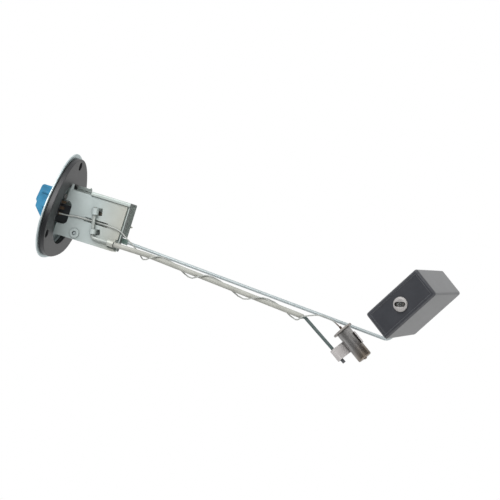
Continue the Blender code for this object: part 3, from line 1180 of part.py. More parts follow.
def make_clip():
    """Sheet clip: hooked round the rod, across to the can and round its back to a free lip."""
    reach = rod_offset()
    outward = can_frame().to_3x3().col[1]
    front = 1.0 if outward.y < 0 else -1.0
    round_rod = ROD_RADIUS + 2 * GAP + SHEET / 2
    round_can = CAN_RADIUS + GAP + SHEET / 2
    hook = arc((reach, 0.0), round_rod, -50.0, 110.0, 7)
    back = arc((0.0, 0.0), round_can, -25.0, -170.0, 12)
    lip = [(-round_can - 0.6 * MM, CLIP_LIP * 0.5), (-round_can - 1.6 * MM, CLIP_LIP)]
    line = [(s, h * front) for s, h in (*hook, *back, *lip)]
    strip = prism(strip_outline(line, SHEET), "Z", CLIP_START, CLIP_START + CLIP_WIDTH)
    add_object("sensor_clip", moved(strip, can_frame()), "zinc", CAN_ORIGIN)


def smooth_points(corners, count):
    """Points spread along a smooth curve through the corners."""
    corners = [Vector(corner) for corner in corners]
    padded = [2 * corners[0] - corners[1], *corners, 2 * corners[-1] - corners[-2]]
    fine = []
    for index in range(len(corners) - 1):
        before, start, end, after = padded[index:index + 4]
        for step in range(12):
            t = step / 12
            fine.append(0.5 * (2 * start + (end - before) * t + (2 * before - 5 * start + 4 * end - after) * t ** 2
                               + (3 * start - before - 3 * end + after) * t ** 3))
    fine.append(corners[-1])
    runs = [0.0]
    for here, ahead in zip(fine, fine[1:]):
        runs.append(runs[-1] + (ahead - here).length)
    spread = []
    for number in range(count):
        wanted = runs[-1] * number / (count - 1)
        index = max(1, next(place for place, run in enumerate(runs) if run >= wanted - 1e-9))
        share = (wanted - runs[index - 1]) / (runs[index] - runs[index - 1])
        spread.append(fine[index - 1].lerp(fine[index], min(share, 1.0)))
    return spread


def coil_points():
    """The lead's turns round the sleeve, between the heights where it crosses its two sides."""
    marks = [LEAD_COIL_START]
    for turn, z in enumerate(LEAD_COIL_LOW_Z):
        marks.append((z, 180.0 - 360.0 * turn))
    for turn, z in enumerate(LEAD_COIL_HIGH_Z):
        marks.append((z, -360.0 * turn))
    marks = sorted([*marks, LEAD_COIL_END], key=lambda mark: -mark[1])
    points = []
    for step in range(LEAD_COIL_STEPS + 1):
        phase = marks[0][1] + (marks[-1][1] - marks[0][1]) * step / LEAD_COIL_STEPS
        index = next(place for place in range(1, len(marks)) if marks[place][1] <= phase + 1e-6)
        (high_z, first), (low_z, last) = marks[index - 1:index + 1]
        z = high_z + (low_z - high_z) * (first - phase) / (first - last)
        turn = math.radians(phase)
        radius = LEAD_COIL_RADIUS + LEAD_COIL_SAG * (1.0 - math.cos(turn)) / 2
        points.append(rod_at(z) + radius * Vector((math.cos(turn), -math.sin(turn), 0.0)))
    return points


def make_lead():
    """Thermistor lead: from the lamp terminal, along the panel, round the sleeve, to the can's pin."""
    on_panel = FRONT_Y - GAP - LEAD_RADIUS
    in_channel = FRONT_Y + CHANNEL_DEPTH - GAP - LEAD_RADIUS
    tail_y = TERMINAL_ROW[1] - TERMINAL_THICKNESS / 2 - GAP - LEAD_RADIUS
    x, centre = terminal_places()[0], CHANNEL_CENTRE_X
    coil = coil_points()
    panel_route = [
        (x, tail_y, 2.6 * MM), (x + 0.1 * MM, tail_y, 0.6 * MM), (x + 0.5 * MM, on_panel, -5.4 * MM),
        (centre - 0.3 * MM, on_panel - 0.1 * MM, -9.0 * MM),
        (centre, on_panel - 0.1 * MM, CHANNEL_START_Z - CHANNEL_RAMP / 4),
        (centre, in_channel, CHANNEL_START_Z - CHANNEL_RAMP * 2.4),
        (centre, in_channel, CHANNEL_END_Z + CHANNEL_RAMP * 2.4),
        (centre, on_panel - 0.1 * MM, CHANNEL_END_Z + CHANNEL_RAMP / 4),
        (-2.7 * MM, on_panel - 0.4 * MM, -41.0 * MM), (-6.2 * MM, on_panel - 0.2 * MM, -47.6 * MM),
        coil[0]]
    route = [*smooth_points(panel_route, 30), *coil[1:-1]]
    pin_side = CAN_ORIGIN - CAN_DOWN * (PIN_HEIGHT * 0.75) - Vector((0, 1, 0)) * (PIN_RADIUS + GAP + LEAD_RADIUS)
    last_run = [coil[-1], (-17.9 * MM, ROD_Y - 1.4 * MM, -180.0 * MM),
                (-16.0 * MM, ROD_Y - 1.2 * MM, -185.8 * MM), (-16.3 * MM, ROD_Y - 1.2 * MM, -191.2 * MM),
                (-17.2 * MM, ROD_Y - 1.2 * MM, -195.2 * MM), pin_side]
    route += smooth_points(last_run, 10)
    add_wire("thermistor_lead", route, LEAD_RADIUS, "grey_lead", 2)


def build():
    """Make every piece of the sender."""
    clear_scene()
    make_gasket()
    make_plate()
    make_connector()
    make_terminals()
    make_insulator()
    make_rivets()
    make_tray()
    make_panel()
    make_bushes()
    places = make_card()
    make_gauge_lead(places[1])
    make_rod()
    make_can()
    make_clip()
    make_lead()
    arm = bpy.data.objects.new("arm_pivot", None)
    arm.location = PIVOT_POINT
    bpy.context.collection.objects.link(arm)
    make_shaft(arm)
    make_lever(arm)
    make_wiper(arm)
    make_arm(arm)
    make_float(arm)
    for item in bpy.data.objects:
        if item.parent is None:
            item.location.x += BODY_OFFSET


build()
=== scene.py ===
"""Looks of a fuel level sender.

A zinc-plated flange with a rubber gasket and a blue socket carries a sheet-metal housing. A bent
wire arm with a block float swings in the housing, and a rod beside it carries a thermistor can.
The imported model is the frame: its pieces keep their places. The classes below dress them, soften
the edges of copies of them, and grow the pieces whose shape follows a rule.
"""

import json
import logging
import math
from dataclasses import dataclass, field, replace
from enum import Enum

import bmesh
import bpy
from mathutils import Matrix, Vector

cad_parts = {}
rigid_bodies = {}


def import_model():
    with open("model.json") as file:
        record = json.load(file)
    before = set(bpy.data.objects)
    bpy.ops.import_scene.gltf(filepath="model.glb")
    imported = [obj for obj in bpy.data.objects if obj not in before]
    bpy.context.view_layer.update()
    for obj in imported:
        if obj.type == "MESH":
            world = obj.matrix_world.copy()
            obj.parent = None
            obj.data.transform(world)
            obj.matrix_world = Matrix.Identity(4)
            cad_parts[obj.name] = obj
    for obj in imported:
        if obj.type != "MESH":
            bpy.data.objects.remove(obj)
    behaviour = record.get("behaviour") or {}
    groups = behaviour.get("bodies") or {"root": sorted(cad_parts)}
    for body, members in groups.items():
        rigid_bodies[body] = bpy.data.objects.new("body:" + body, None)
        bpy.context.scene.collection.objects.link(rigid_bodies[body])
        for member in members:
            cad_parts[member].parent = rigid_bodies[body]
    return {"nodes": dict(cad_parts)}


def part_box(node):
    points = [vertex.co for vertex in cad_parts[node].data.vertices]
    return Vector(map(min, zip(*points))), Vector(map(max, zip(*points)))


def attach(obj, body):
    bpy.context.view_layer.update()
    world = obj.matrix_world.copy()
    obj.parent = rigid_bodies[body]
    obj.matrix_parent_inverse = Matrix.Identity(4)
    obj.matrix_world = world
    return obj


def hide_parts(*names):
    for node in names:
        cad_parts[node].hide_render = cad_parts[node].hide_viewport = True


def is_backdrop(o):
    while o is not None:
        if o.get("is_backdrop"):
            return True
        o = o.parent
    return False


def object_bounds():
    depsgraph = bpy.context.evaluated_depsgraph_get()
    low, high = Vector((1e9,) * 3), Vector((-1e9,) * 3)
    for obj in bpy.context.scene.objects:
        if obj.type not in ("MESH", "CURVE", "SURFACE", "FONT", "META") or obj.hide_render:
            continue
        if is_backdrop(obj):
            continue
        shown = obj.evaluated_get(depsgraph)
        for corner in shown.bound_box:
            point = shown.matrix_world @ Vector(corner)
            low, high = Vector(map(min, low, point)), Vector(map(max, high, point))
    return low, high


for _left_over in list(bpy.data.objects):
    bpy.data.objects.remove(_left_over, do_unlink=True)
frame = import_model()

Node = bpy.types.Node
Object = bpy.types.Object
Socket = bpy.types.NodeSocket
Tree = bpy.types.NodeTree
Term = float | str | Socket
Colour = tuple[float, float, float, float]
Profile = tuple[tuple[float, float], ...]

LOG = logging.getLogger("fuel_sender")
MM = 0.001
WHITE = (1.0, 1.0, 1.0, 1.0)
# Where the three colours of a patch lie on its noise
PATCH_STOPS = (0.3, 0.52, 0.74)
PATCH_NOISE = {"Detail": 3.0, "Roughness": 0.6}
# Share of open space around a point, from full painted crease shade to none
CREASE_SHADE_RANGE = (0.3, 0.95)
CREASE_SHADE_SAMPLES = 8
# Points closer than this are one point, and faces that turn less than this are one face
MERGE_DISTANCE = 0.002 * MM
FLAT_ANGLE = math.radians(0.6)
# Steps of a rounded edge, and the turn above which an edge is rounded
EDGE_STEPS = 2
EDGE_ANGLE = math.radians(32.0)
# Edges that turn more than this many degrees stay sharp to the light
SMOOTH_ANGLE = 40.0


class Body(Enum):
    """The two bodies that pieces ride on."""

    SENDER = "sender_body"
    LEVER = "float_lever"


def linear(code: str) -> Colour:
    """Turn an sRGB colour, a hash and six hex digits, into linear values with an alpha of one."""
    digits = code.lstrip("#")
    values = []
    for start in (0, 2, 4):
        value = int(digits[start:start + 2], 16) / 255.0
        values.append(value / 12.92 if value <= 0.04045 else ((value + 0.055) / 1.055) ** 2.4)
    return values[0], values[1], values[2], 1.0


def add_node(tree: Tree, kind: str, settings: dict | None = None, links: dict | None = None) -> Node:
    """Add a node with its settings and links.

    Args:
        tree: the tree that gets the node.
        kind: the node's type name.
        settings: attributes by name, and socket defaults by name or index.
        links: input sockets by name or index, each with the output socket that feeds it.

    Returns:
        The new node.
    """
    node = tree.nodes.new(kind)
    for key, value in (settings or {}).items():
        if isinstance(key, str) and hasattr(node, key):
            setattr(node, key, value)
        else:
            node.inputs[key].default_value = value
    for key, source in (links or {}).items():
        tree.links.new(source, node.inputs[key])
    return node


def ramp(tree: Tree, source: Socket, stops: tuple[tuple[float, Colour], ...]) -> Socket:
    """Colour ramp over a value.

    Args:
        tree: the tree that gets the ramp.
        source: the value that drives it.
        stops: places and colours, from low to high.

    Returns:
        The ramp's colour socket.
    """
    node = add_node(tree, "ShaderNodeValToRGB", links={0: source})
    elements = node.color_ramp.elements
    while len(elements) < len(stops):
        elements.new(0.5)
    for element, (place, colour) in zip(elements, stops):
        element.position = place
        element.color = colour
    return node.outputs["Color"]


def ranged(tree: Tree, value: Socket, low: float, high: float, to_low: float = 0.0,
           to_high: float = 1.0) -> Socket:
    """Map a value's range onto another one."""
    return add_node(tree, "ShaderNodeMapRange", {
        "From Min": low, "From Max": high, "To Min": to_low, "To Max": to_high},
        {"Value": value}).outputs["Result"]


def rays(tree: Tree, *kinds: str) -> Socket:
    """One for a ray of any of the kinds, and zero for others."""
    path = add_node(tree, "ShaderNodeLightPath").outputs
    found = path[f"Is {kinds[0]} Ray"]
    for kind in kinds[1:]:
        found = add_node(tree, "ShaderNodeMath", {"operation": "MAXIMUM"}, {
            0: found, 1: path[f"Is {kind} Ray"]}).outputs["Value"]
    return found


def patches(tree: Tree, size: float, detail: float, place: Socket) -> Socket:
    """Noise whose patches are about a size across."""
    return add_node(tree, "ShaderNodeTexNoise", {"Scale": 1.0 / size, "Detail": detail},
                    {"Vector": place}).outputs["Fac"]


@dataclass(frozen=True)
class Finish:
    """A surface: its colours and how it takes light."""

    name: str
    base: str
    shade: str
    light: str
    roughness: float
    metallic: float = 0.0
    grain: float = 0.6 * MM
    blotch: float = 9.0 * MM
    relief: float = 0.02 * MM
    roughness_swing: float = 0.06
    specular: float = 0.5
    sheen: float = 0.0
    zones: tuple[tuple[float, str], ...] = ()
    soft: float = 1.5 * MM
    # Strength of the painted crease shade from ambient occlusion, and how far it reaches
    crease_shade: float = 0.0
    crease_shade_reach: float = 1.2 * MM
    relief_strength: float = 0.5

    def start(self) -> tuple[bpy.types.Material, Tree, Node, Socket]:
        """Make the material, and return it with its tree, its Principled node and its place in metres."""
        made = bpy.data.materials.new(self.name)
        made.use_nodes = True
        tree = made.node_tree
        shader = tree.nodes["Principled BSDF"]
        shader.inputs["Metallic"].default_value = self.metallic
        shader.inputs["Roughness"].default_value = self.roughness
        shader.inputs["Specular IOR Level"].default_value = self.specular
        shader.inputs["Sheen Weight"].default_value = self.sheen
        return made, tree, shader, add_node(tree, "ShaderNodeTexCoord").outputs["Object"]

    def blotches(self, tree: Tree, place: Socket) -> Socket:
        """Soft patches of the three colours, about the size of the blotch."""
        cloud = add_node(tree, "ShaderNodeTexNoise", {"Scale": 1.0 / self.blotch, **PATCH_NOISE},
                         {"Vector": place})
        colours = (linear(code) for code in (self.shade, self.base, self.light))
        return ramp(tree, cloud.outputs["Fac"], tuple(zip(PATCH_STOPS, colours)))

    def colour(self, tree: Tree, place: Socket) -> Socket:
        """Patches, replaced below each zone's height by the zone's own colour, then darkened by the painted
        crease shade.
        """
        mixed = self.blotches(tree, place)
        height = add_node(tree, "ShaderNodeSeparateXYZ", links={0: place}).outputs["Z"]
        for level, code in self.zones:
            share = ranged(tree, height, level + self.soft, level - self.soft)
            mixed = add_node(tree, "ShaderNodeMix", {"data_type": "RGBA", 7: linear(code)},
                             {0: share, 6: mixed}).outputs[2]
        return self.with_crease_shade(tree, mixed) if self.crease_shade else mixed

    def with_crease_shade(self, tree: Tree, colour: Socket) -> Socket:
        """Painted shade: darken the colour by ambient occlusion along folds, crevices and contacts."""
        sky = add_node(tree, "ShaderNodeAmbientOcclusion", {
            "samples": CREASE_SHADE_SAMPLES, "Distance": self.crease_shade_reach})
        kept = ranged(tree, sky.outputs["AO"], *CREASE_SHADE_RANGE, 1.0 - self.crease_shade)
        return add_node(tree, "ShaderNodeMix", {"data_type": "RGBA", "blend_type": "MULTIPLY", 0: 1.0},
                        {6: colour, 7: kept}).outputs[2]

    def surface(self, shader: Node, noise: Socket, height: Socket) -> None:
        """Let the roughness follow a noise, and raise a shallow relief.

        Args:
            shader: the material's Principled node.
            noise: what the roughness follows.
            height: the relief's height.
        """
        tree = shader.id_data
        low, high = self.roughness - self.roughness_swing, self.roughness + self.roughness_swing
        tree.links.new(ranged(tree, noise, 0.0, 1.0, low, high), shader.inputs["Roughness"])
        if self.relief:
            bump = add_node(tree, "ShaderNodeBump", {
                "Strength": self.relief_strength, "Distance": self.relief}, {"Height": height})
            tree.links.new(bump.outputs["Normal"], shader.inputs["Normal"])

    def make(self) -> bpy.types.Material:
        """Patched colour, fine grain in the roughness and a shallow relief."""
        made, tree, shader, place = self.start()
        tree.links.new(self.colour(tree, place), shader.inputs["Base Color"])
        grain = patches(tree, self.grain, 2.0, place)
        self.surface(shader, grain, grain)
        return made


@dataclass(frozen=True)
class RolledZinc(Finish):
    """Electro-zinc plate on rolled steel: faint rolling lines under a clear blue-green passivation."""

    line_pitch: float = 0.35 * MM
    line_stretch: float = 0.04
    line_share: float = 0.28
    tint: str = "#A9B7B0"
    relief_strength: float = 0.3

    def make(self) -> bpy.types.Material:
        """Blotched plate with rolling lines along Z."""
        made, tree, shader, place = self.start()
        plate = self.colour(tree, place)
        stretched = add_node(tree, "ShaderNodeMapping", {"Scale": (1.0, 1.0, self.line_stretch)},
                             {"Vector": place})
        lines = patches(tree, self.line_pitch, 2.0, stretched.outputs["Vector"])
        faint = ranged(tree, lines, 0.0, 1.0, 0.0, self.line_share)
        tinted = add_node(tree, "ShaderNodeMix", {"data_type": "RGBA", 7: linear(self.tint)},
                          {0: faint, 6: plate})
        tree.links.new(tinted.outputs[2], shader.inputs["Base Color"])
        grain = patches(tree, self.grain, 3.0, place)
        both = add_node(tree, "ShaderNodeMath", {"operation": "ADD"}, {0: lines, 1: grain})
        self.surface(shader, lines, both.outputs["Value"])
        return made


# Zinc-plated deep-drawn steel, clear passivated: a cool, slightly blue silver.
FLANGE_ZINC = RolledZinc("flange_zinc_plate", "#C6D3D6", "#AEBBBF", "#DDE8EA", roughness=0.42, metallic=0.6,
                         relief=0.008 * MM, crease_shade=0.4)
# Zinc-plated folded sheet, passivated: a greyer satin, a little green.
HOUSING_ZINC = RolledZinc("housing_zinc_sheet", "#C3CDCC", "#B9C3C1", "#CED7D6", roughness=0.5,
                          metallic=0.35, relief=0.006 * MM, blotch=16.0 * MM, tint="#BBC7C6", specular=0.35,
                          crease_shade=0.8, zones=((-33.0 * MM, "#C2C0B4"),), soft=11.0 * MM)
# The same sheet of the tray; its far end face is painted dark, painted shade where little light reaches.
TRAY_ZINC = replace(HOUSING_ZINC, name="tray_zinc_sheet", base="#BCC5C1", shade="#B0B9B5",
                    light="#C8D0CC", tint="#B6C1BD", crease_shade=0.75, zones=((-43.13 * MM, "#343A38"),),
                    soft=0.03 * MM)
# Zinc-plated drawn wire: smooth, so it shows the studio in a streak.
WIRE_ZINC = Finish("drawn_wire_zinc", "#B4BDBF", "#A9B3B5", "#C0C9CA", roughness=0.46, metallic=0.35,
                   grain=2.0 * MM, relief=0.0, roughness_swing=0.02)
# The same wire bent for the thermistor: duller on the panel, darker and greener past the sleeve.
ROD_ZINC = Finish("bent_rod_zinc", "#B3B9B5", "#A7ADA9", "#BEC4C0", roughness=0.48, metallic=0.3,
                  grain=2.0 * MM, relief=0.0, crease_shade=0.6,
                  zones=((-174.0 * MM, "#5E6B6A"), (-207.0 * MM, "#55565A")))
# Tinned drawn brass can: warm grey, with the brass grinning through along the far end.
CAN_TIN = Finish("tinned_can", "#989695", "#8C8A89", "#A5A3A1", roughness=0.32, metallic=0.85,
                 blotch=6.0 * MM, grain=3.0 * MM, relief=0.0, roughness_swing=0.02,
                 zones=((-216.0 * MM, "#82786E"),), soft=4.0 * MM, crease_shade=0.6)
# The collar: the same tin, dulled by the crimping tool.
COLLAR_TIN = Finish("crimped_tin", "#9C9793", "#8E8985", "#A9A4A0", roughness=0.45, metallic=0.45,
                    crease_shade=0.6, blotch=4.0 * MM, relief=0.0)
# The float's push nut: stamped from tinned spring steel, a little greyer than the clip.
NUT_STEEL = Finish("tinned_spring_steel", "#B4B1B0", "#A8A5A4", "#C0BDBB", roughness=0.5, metallic=0.25,
                   crease_shade=0.5, grain=2.0 * MM, relief=0.0, blotch=4.0 * MM)
# Bright spring steel of clip and retainer, with a faint warm cast.
CLIP_STEEL = Finish("clip_spring_steel", "#C8C4C3", "#BEBAB9", "#D2CFCE", roughness=0.5, metallic=0.25,
                    crease_shade=0.5, grain=2.0 * MM, relief=0.0, roughness_swing=0.03)
# The nut's tongues and the wire's sheared end: the same steel painted near black, painted shade that makes
# the nut's slot read dark.
SLOT_SHADE_STEEL = Finish("slot_shade_spring_steel", "#4C4A48", "#3E3C3B", "#5C5A57", roughness=0.4, metallic=0.5,
                      grain=1.0 * MM, relief=0.0)
# Moulded nitrile rubber: black, dull, with a bloom that shows at a low angle.
NITRILE = Finish("moulded_nitrile", "#151619", "#111215", "#1C1B1F", roughness=0.42, grain=0.5 * MM,
                 relief=0.006 * MM, specular=0.62)
# Moulded polyamide, bright blue.
BLUE_NYLON = Finish("moulded_blue_nylon", "#378CB5", "#2B7499", "#4599C2", roughness=0.45,
                    relief=0.004 * MM)
# Moulded phenolic of the insulator, near black.
DARK_MOULDING = Finish("moulded_insulator", "#303337", "#282B2E", "#3A3E42", roughness=0.5)
# Moulded grey-green nylon of the stop sleeve.
GREEN_NYLON = Finish("moulded_green_nylon", "#7E9890", "#6B867E", "#95ABA4", roughness=0.4)
# Extruded tube on the rod, pale and waxy.
PALE_TUBE = Finish("extruded_pale_tube", "#B0B1AA", "#A5A69F", "#BBBCB5", roughness=0.5, crease_shade=0.4,
                   grain=3.0 * MM, relief=0.0)
# Stranded lead in grey insulation: tinned at the terminal, bared and dark at the can.
LEAD_SLEEVING = Finish("grey_wire_insulation", "#C9CCC8", "#BDC0BC", "#D5D8D4", roughness=0.45,
                       metallic=0.1, grain=3.0 * MM, relief=0.0,
                       zones=((-7.5 * MM, "#AEB1AD"), (-196.5 * MM, "#5A4A40")))
# Insulated lead inside the housing, plain grey.
GREY_INSULATION = Finish("inner_wire_insulation", "#9C9B99", "#8E8D8B", "#ABAAA8", roughness=0.45)
# Stamped brass of the terminals and the wiper, dulled by air.
STAMPED_BRASS = Finish("stamped_brass", "#75624F", "#625040", "#8C7764", roughness=0.4, metallic=0.6,
                       blotch=2.0 * MM)
# The can's contact pin, browned by soldering.
BROWNED_PIN = Finish("browned_pin", "#5A463C", "#4A382F", "#6B564A", roughness=0.4, metallic=0.4,
                     blotch=1.0 * MM)
# Phenolic paper board of the resistor card.
PAPER_BOARD = Finish("phenolic_board", "#463B32", "#3A3029", "#54483D", roughness=0.55)
# Nickel-chrome resistance wire.
RESISTANCE_WIRE = Finish("resistance_wire", "#A79C8B", "#8C8171", "#C2B8A8", roughness=0.3, metallic=0.9,
                         blotch=1.5 * MM)
# Skinned closed-cell nitrile block: blue-black with a fine leathery skin.
FLOAT_SKIN = Finish("skinned_float_block", "#34363C", "#2E3036", "#3B3D43", roughness=0.38, grain=0.5 * MM,
                    blotch=14.0 * MM, relief=0.006 * MM, specular=0.6, sheen=0.3)


def material(finish: Finish) -> bpy.types.Material:
    """Return the finish's material, made once for the whole object."""
    return bpy.data.materials.get(finish.name) or finish.make()


def placed(name: str, mesh: bpy.types.Mesh) -> Object:
    """Link a mesh as an object at the origin."""
    mesh.name = name
    made = bpy.data.objects.new(name, mesh)
    bpy.context.scene.collection.objects.link(made)
    return made


def from_bmesh(name: str, shape: bmesh.types.BMesh) -> Object:
    """Make an object of a shape at the origin, and free the shape."""
    mesh = bpy.data.meshes.new(name)
    shape.to_mesh(mesh)
    shape.free()
    return placed(name, mesh)


def skin(shape: bmesh.types.BMesh, rings: list[list[bmesh.types.BMVert]], capped: bool = True) -> None:
    """Lay faces between rings of points, once round each; corners that share a point meet in it.

    Args:
        shape: the shape that holds the points.
        rings: the rings, from the first to the last.
        capped: the first and the last ring are closed with a face each.
    """
    for here, ahead in zip(rings, rings[1:]):
        for step in range(len(here)):
            after = (step + 1) % len(here)
            corners = (here[step], here[after], ahead[after], ahead[step])
            shape.faces.new(list(dict.fromkeys(corners)))
    if capped:
        shape.faces.new(rings[0])
        shape.faces.new(rings[-1])


def copied(node: str, name: str) -> Object:
    """Copy a CAD node's mesh with its loose triangles joined and its flat seams dissolved."""
    copy = bmesh.new()
    copy.from_mesh(frame["nodes"][node].data)
    bmesh.ops.remove_doubles(copy, verts=copy.verts, dist=MERGE_DISTANCE)
    bmesh.ops.dissolve_limit(copy, angle_limit=FLAT_ANGLE, verts=copy.verts, edges=copy.edges)
    return from_bmesh(name, copy)


def baked(name: str, source: Object, finish: Finish, smooth: float | None = SMOOTH_ANGLE) -> Object:
    """Evaluate an object's modifiers into a plain mesh with one material.

    Args:
        name: the finished piece's name.
        source: the object with its modifiers, which is removed.
        finish: the piece's finish.
        smooth: edges sharper than this many degrees stay sharp; None keeps the modifiers' normals.

    Returns:
        The finished piece.
    """
    bpy.context.view_layer.update()
    depsgraph = bpy.context.evaluated_depsgraph_get()
    mesh = bpy.data.meshes.new_from_object(source.evaluated_get(depsgraph))
    bpy.data.objects.remove(source, do_unlink=True)
    mesh.materials.clear()
    mesh.materials.append(material(finish))
    for face in mesh.polygons:
        face.material_index = 0
    if smooth is not None:
        mesh.shade_smooth()
        mesh.set_sharp_from_angle(angle=math.radians(smooth))
    return placed(name, mesh)


def stands_for(piece: Object, body: Body, *nodes: str) -> Object:
    """Let a piece ride on its body in place of CAD nodes, and report it."""
    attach(piece, body.value)
    if nodes:
        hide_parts(*nodes)
    LOG.info("%s: %d faces, rides on %s, stands for %s", piece.name, len(piece.data.polygons), body.value,
             ", ".join(nodes) or "nothing")
    return piece


class Recipe:
    """A Geometry Nodes tree with named inputs, and the modifier that runs it."""

    def __init__(self, name: str, inputs: dict[str, float | int]) -> None:
        """Open the tree and give it its inputs.

        Args:
            name: the tree's name.
            inputs: each input's name and value; whole numbers make whole-number sockets.
        """
        self.name = name
        self.tree = bpy.data.node_groups.new(name, "GeometryNodeTree")
        self.tree.interface.new_socket("Geometry", in_out="OUTPUT", socket_type="NodeSocketGeometry")
        self.values = {}
        for title, value in inputs.items():
            kind = "NodeSocketInt" if isinstance(value, int) else "NodeSocketFloat"
            socket = self.tree.interface.new_socket(title, in_out="INPUT", socket_type=kind)
            self.values[socket.identifier] = value
        self.group = self.tree.nodes.new("NodeGroupInput")

    def node(self, kind: str, settings: dict | None = None, links: dict | None = None) -> Socket:
        """Add a node and return its first output; a link gives a socket or the name of an input."""
        sources = {key: self.group.outputs[term] if isinstance(term, str) else term
                   for key, term in (links or {}).items()}
        return add_node(self.tree, kind, settings, sources).outputs[0]

    def math(self, operation: str, first: Term, second: Term = 0.0) -> Socket:
        """Combine two terms: a number, a socket, or the name of an input.

        Args:
            operation: the Math node's operation.
            first: the first term.
            second: the second term.

        Returns:
            The result's socket.
        """
        terms = dict(enumerate((first, second)))
        numbers = {index: term for index, term in terms.items() if isinstance(term, float)}
        links = {index: term for index, term in terms.items() if index not in numbers}
        return self.node("ShaderNodeMath", {"operation": operation, **numbers}, links)

    def point(self, **links: Term) -> Socket:
        """Vector of the coordinates that are given as X, Y or Z."""
        return self.node("ShaderNodeCombineXYZ", links=links)

    def circle(self, radius: Term, steps: int) -> Socket:
        """Circle as a curve."""
        return self.node("GeometryNodeCurvePrimitiveCircle", {"Resolution": steps}, {"Radius": radius})

    def swept(self, path: Socket, section: Socket) -> Socket:
        """Surface that a section leaves along a path."""
        return self.node("GeometryNodeCurveToMesh", links={0: path, 1: section})

    def join(self, *parts: Socket) -> Socket:
        """Join several geometries."""
        joined = self.node("GeometryNodeJoinGeometry")
        for part in parts:
            self.tree.links.new(part, joined.node.inputs[0])
        return joined

    def grow(self, geometry: Socket, finish: Finish, smooth: float = SMOOTH_ANGLE) -> Object:
        """Close the tree with Realize Instances and Set Material, run it and keep a plain mesh.

        Args:
            geometry: the geometry to realize.
            finish: the piece's finish.
            smooth: edges sharper than this many degrees stay sharp.

        Returns:
            The finished piece.
        """
        realized = self.node("GeometryNodeRealizeInstances", links={0: geometry})
        merged = self.node("GeometryNodeMergeByDistance", {"Distance": MERGE_DISTANCE / 2}, {0: realized})
        painted = self.node("GeometryNodeSetMaterial", {"Material": material(finish)}, {0: merged})
        end = self.tree.nodes.new("NodeGroupOutput")
        self.tree.links.new(painted, end.inputs[0])
        carrier = placed(f"{self.name}_carrier", bpy.data.meshes.new(f"{self.name}_carrier"))
        modifier = carrier.modifiers.new(self.name, "NODES")
        modifier.node_group = self.tree
        for identifier, value in self.values.items():
            modifier[identifier] = value
        return baked(self.name, carrier, finish, smooth)


@dataclass
class Dressing:
    """CAD nodes that keep their shape and get a finish."""

    title: str
    nodes: tuple[tuple[str, Finish], ...]

    def dress(self) -> None:
        """Paint every node and report it."""
        for name, finish in self.nodes:
            mesh = frame["nodes"][name].data
            mesh.materials.clear()
            mesh.materials.append(material(finish))
            LOG.info("%s: %s dressed in %s", self.title, name, finish.name)


def softened(piece: Object, finish: Finish, width: float) -> Object:
    """Round a mesh's sharp edges and keep its large faces flat to the light.

    Args:
        piece: the object, whose name the result takes.
        finish: the piece's finish.
        width: the bevel's width in metres.

    Returns:
        The rounded piece.
    """
    name = piece.name
    piece.name = f"{name}_sharp"
    piece.data.shade_smooth()
    bevel = piece.modifiers.new("edge", "BEVEL")
    bevel.width, bevel.segments = width, EDGE_STEPS
    bevel.limit_method, bevel.angle_limit = "ANGLE", EDGE_ANGLE
    bevel.use_clamp_overlap = True
    weighted = piece.modifiers.new("flat_faces", "WEIGHTED_NORMAL")
    weighted.keep_sharp = False
    return baked(name, piece, finish, None)


@dataclass
class SoftEdges:
    """Copies of CAD nodes whose sharp edges are rounded as press and mould leave them."""

    body: Body
    pieces: tuple[tuple[str, Finish, float], ...]

    def dress(self) -> None:
        """Round, paint and place every copy."""
        for name, finish, width in self.pieces:
            stands_for(softened(copied(name, f"{name}_soft"), finish, width), self.body, name)


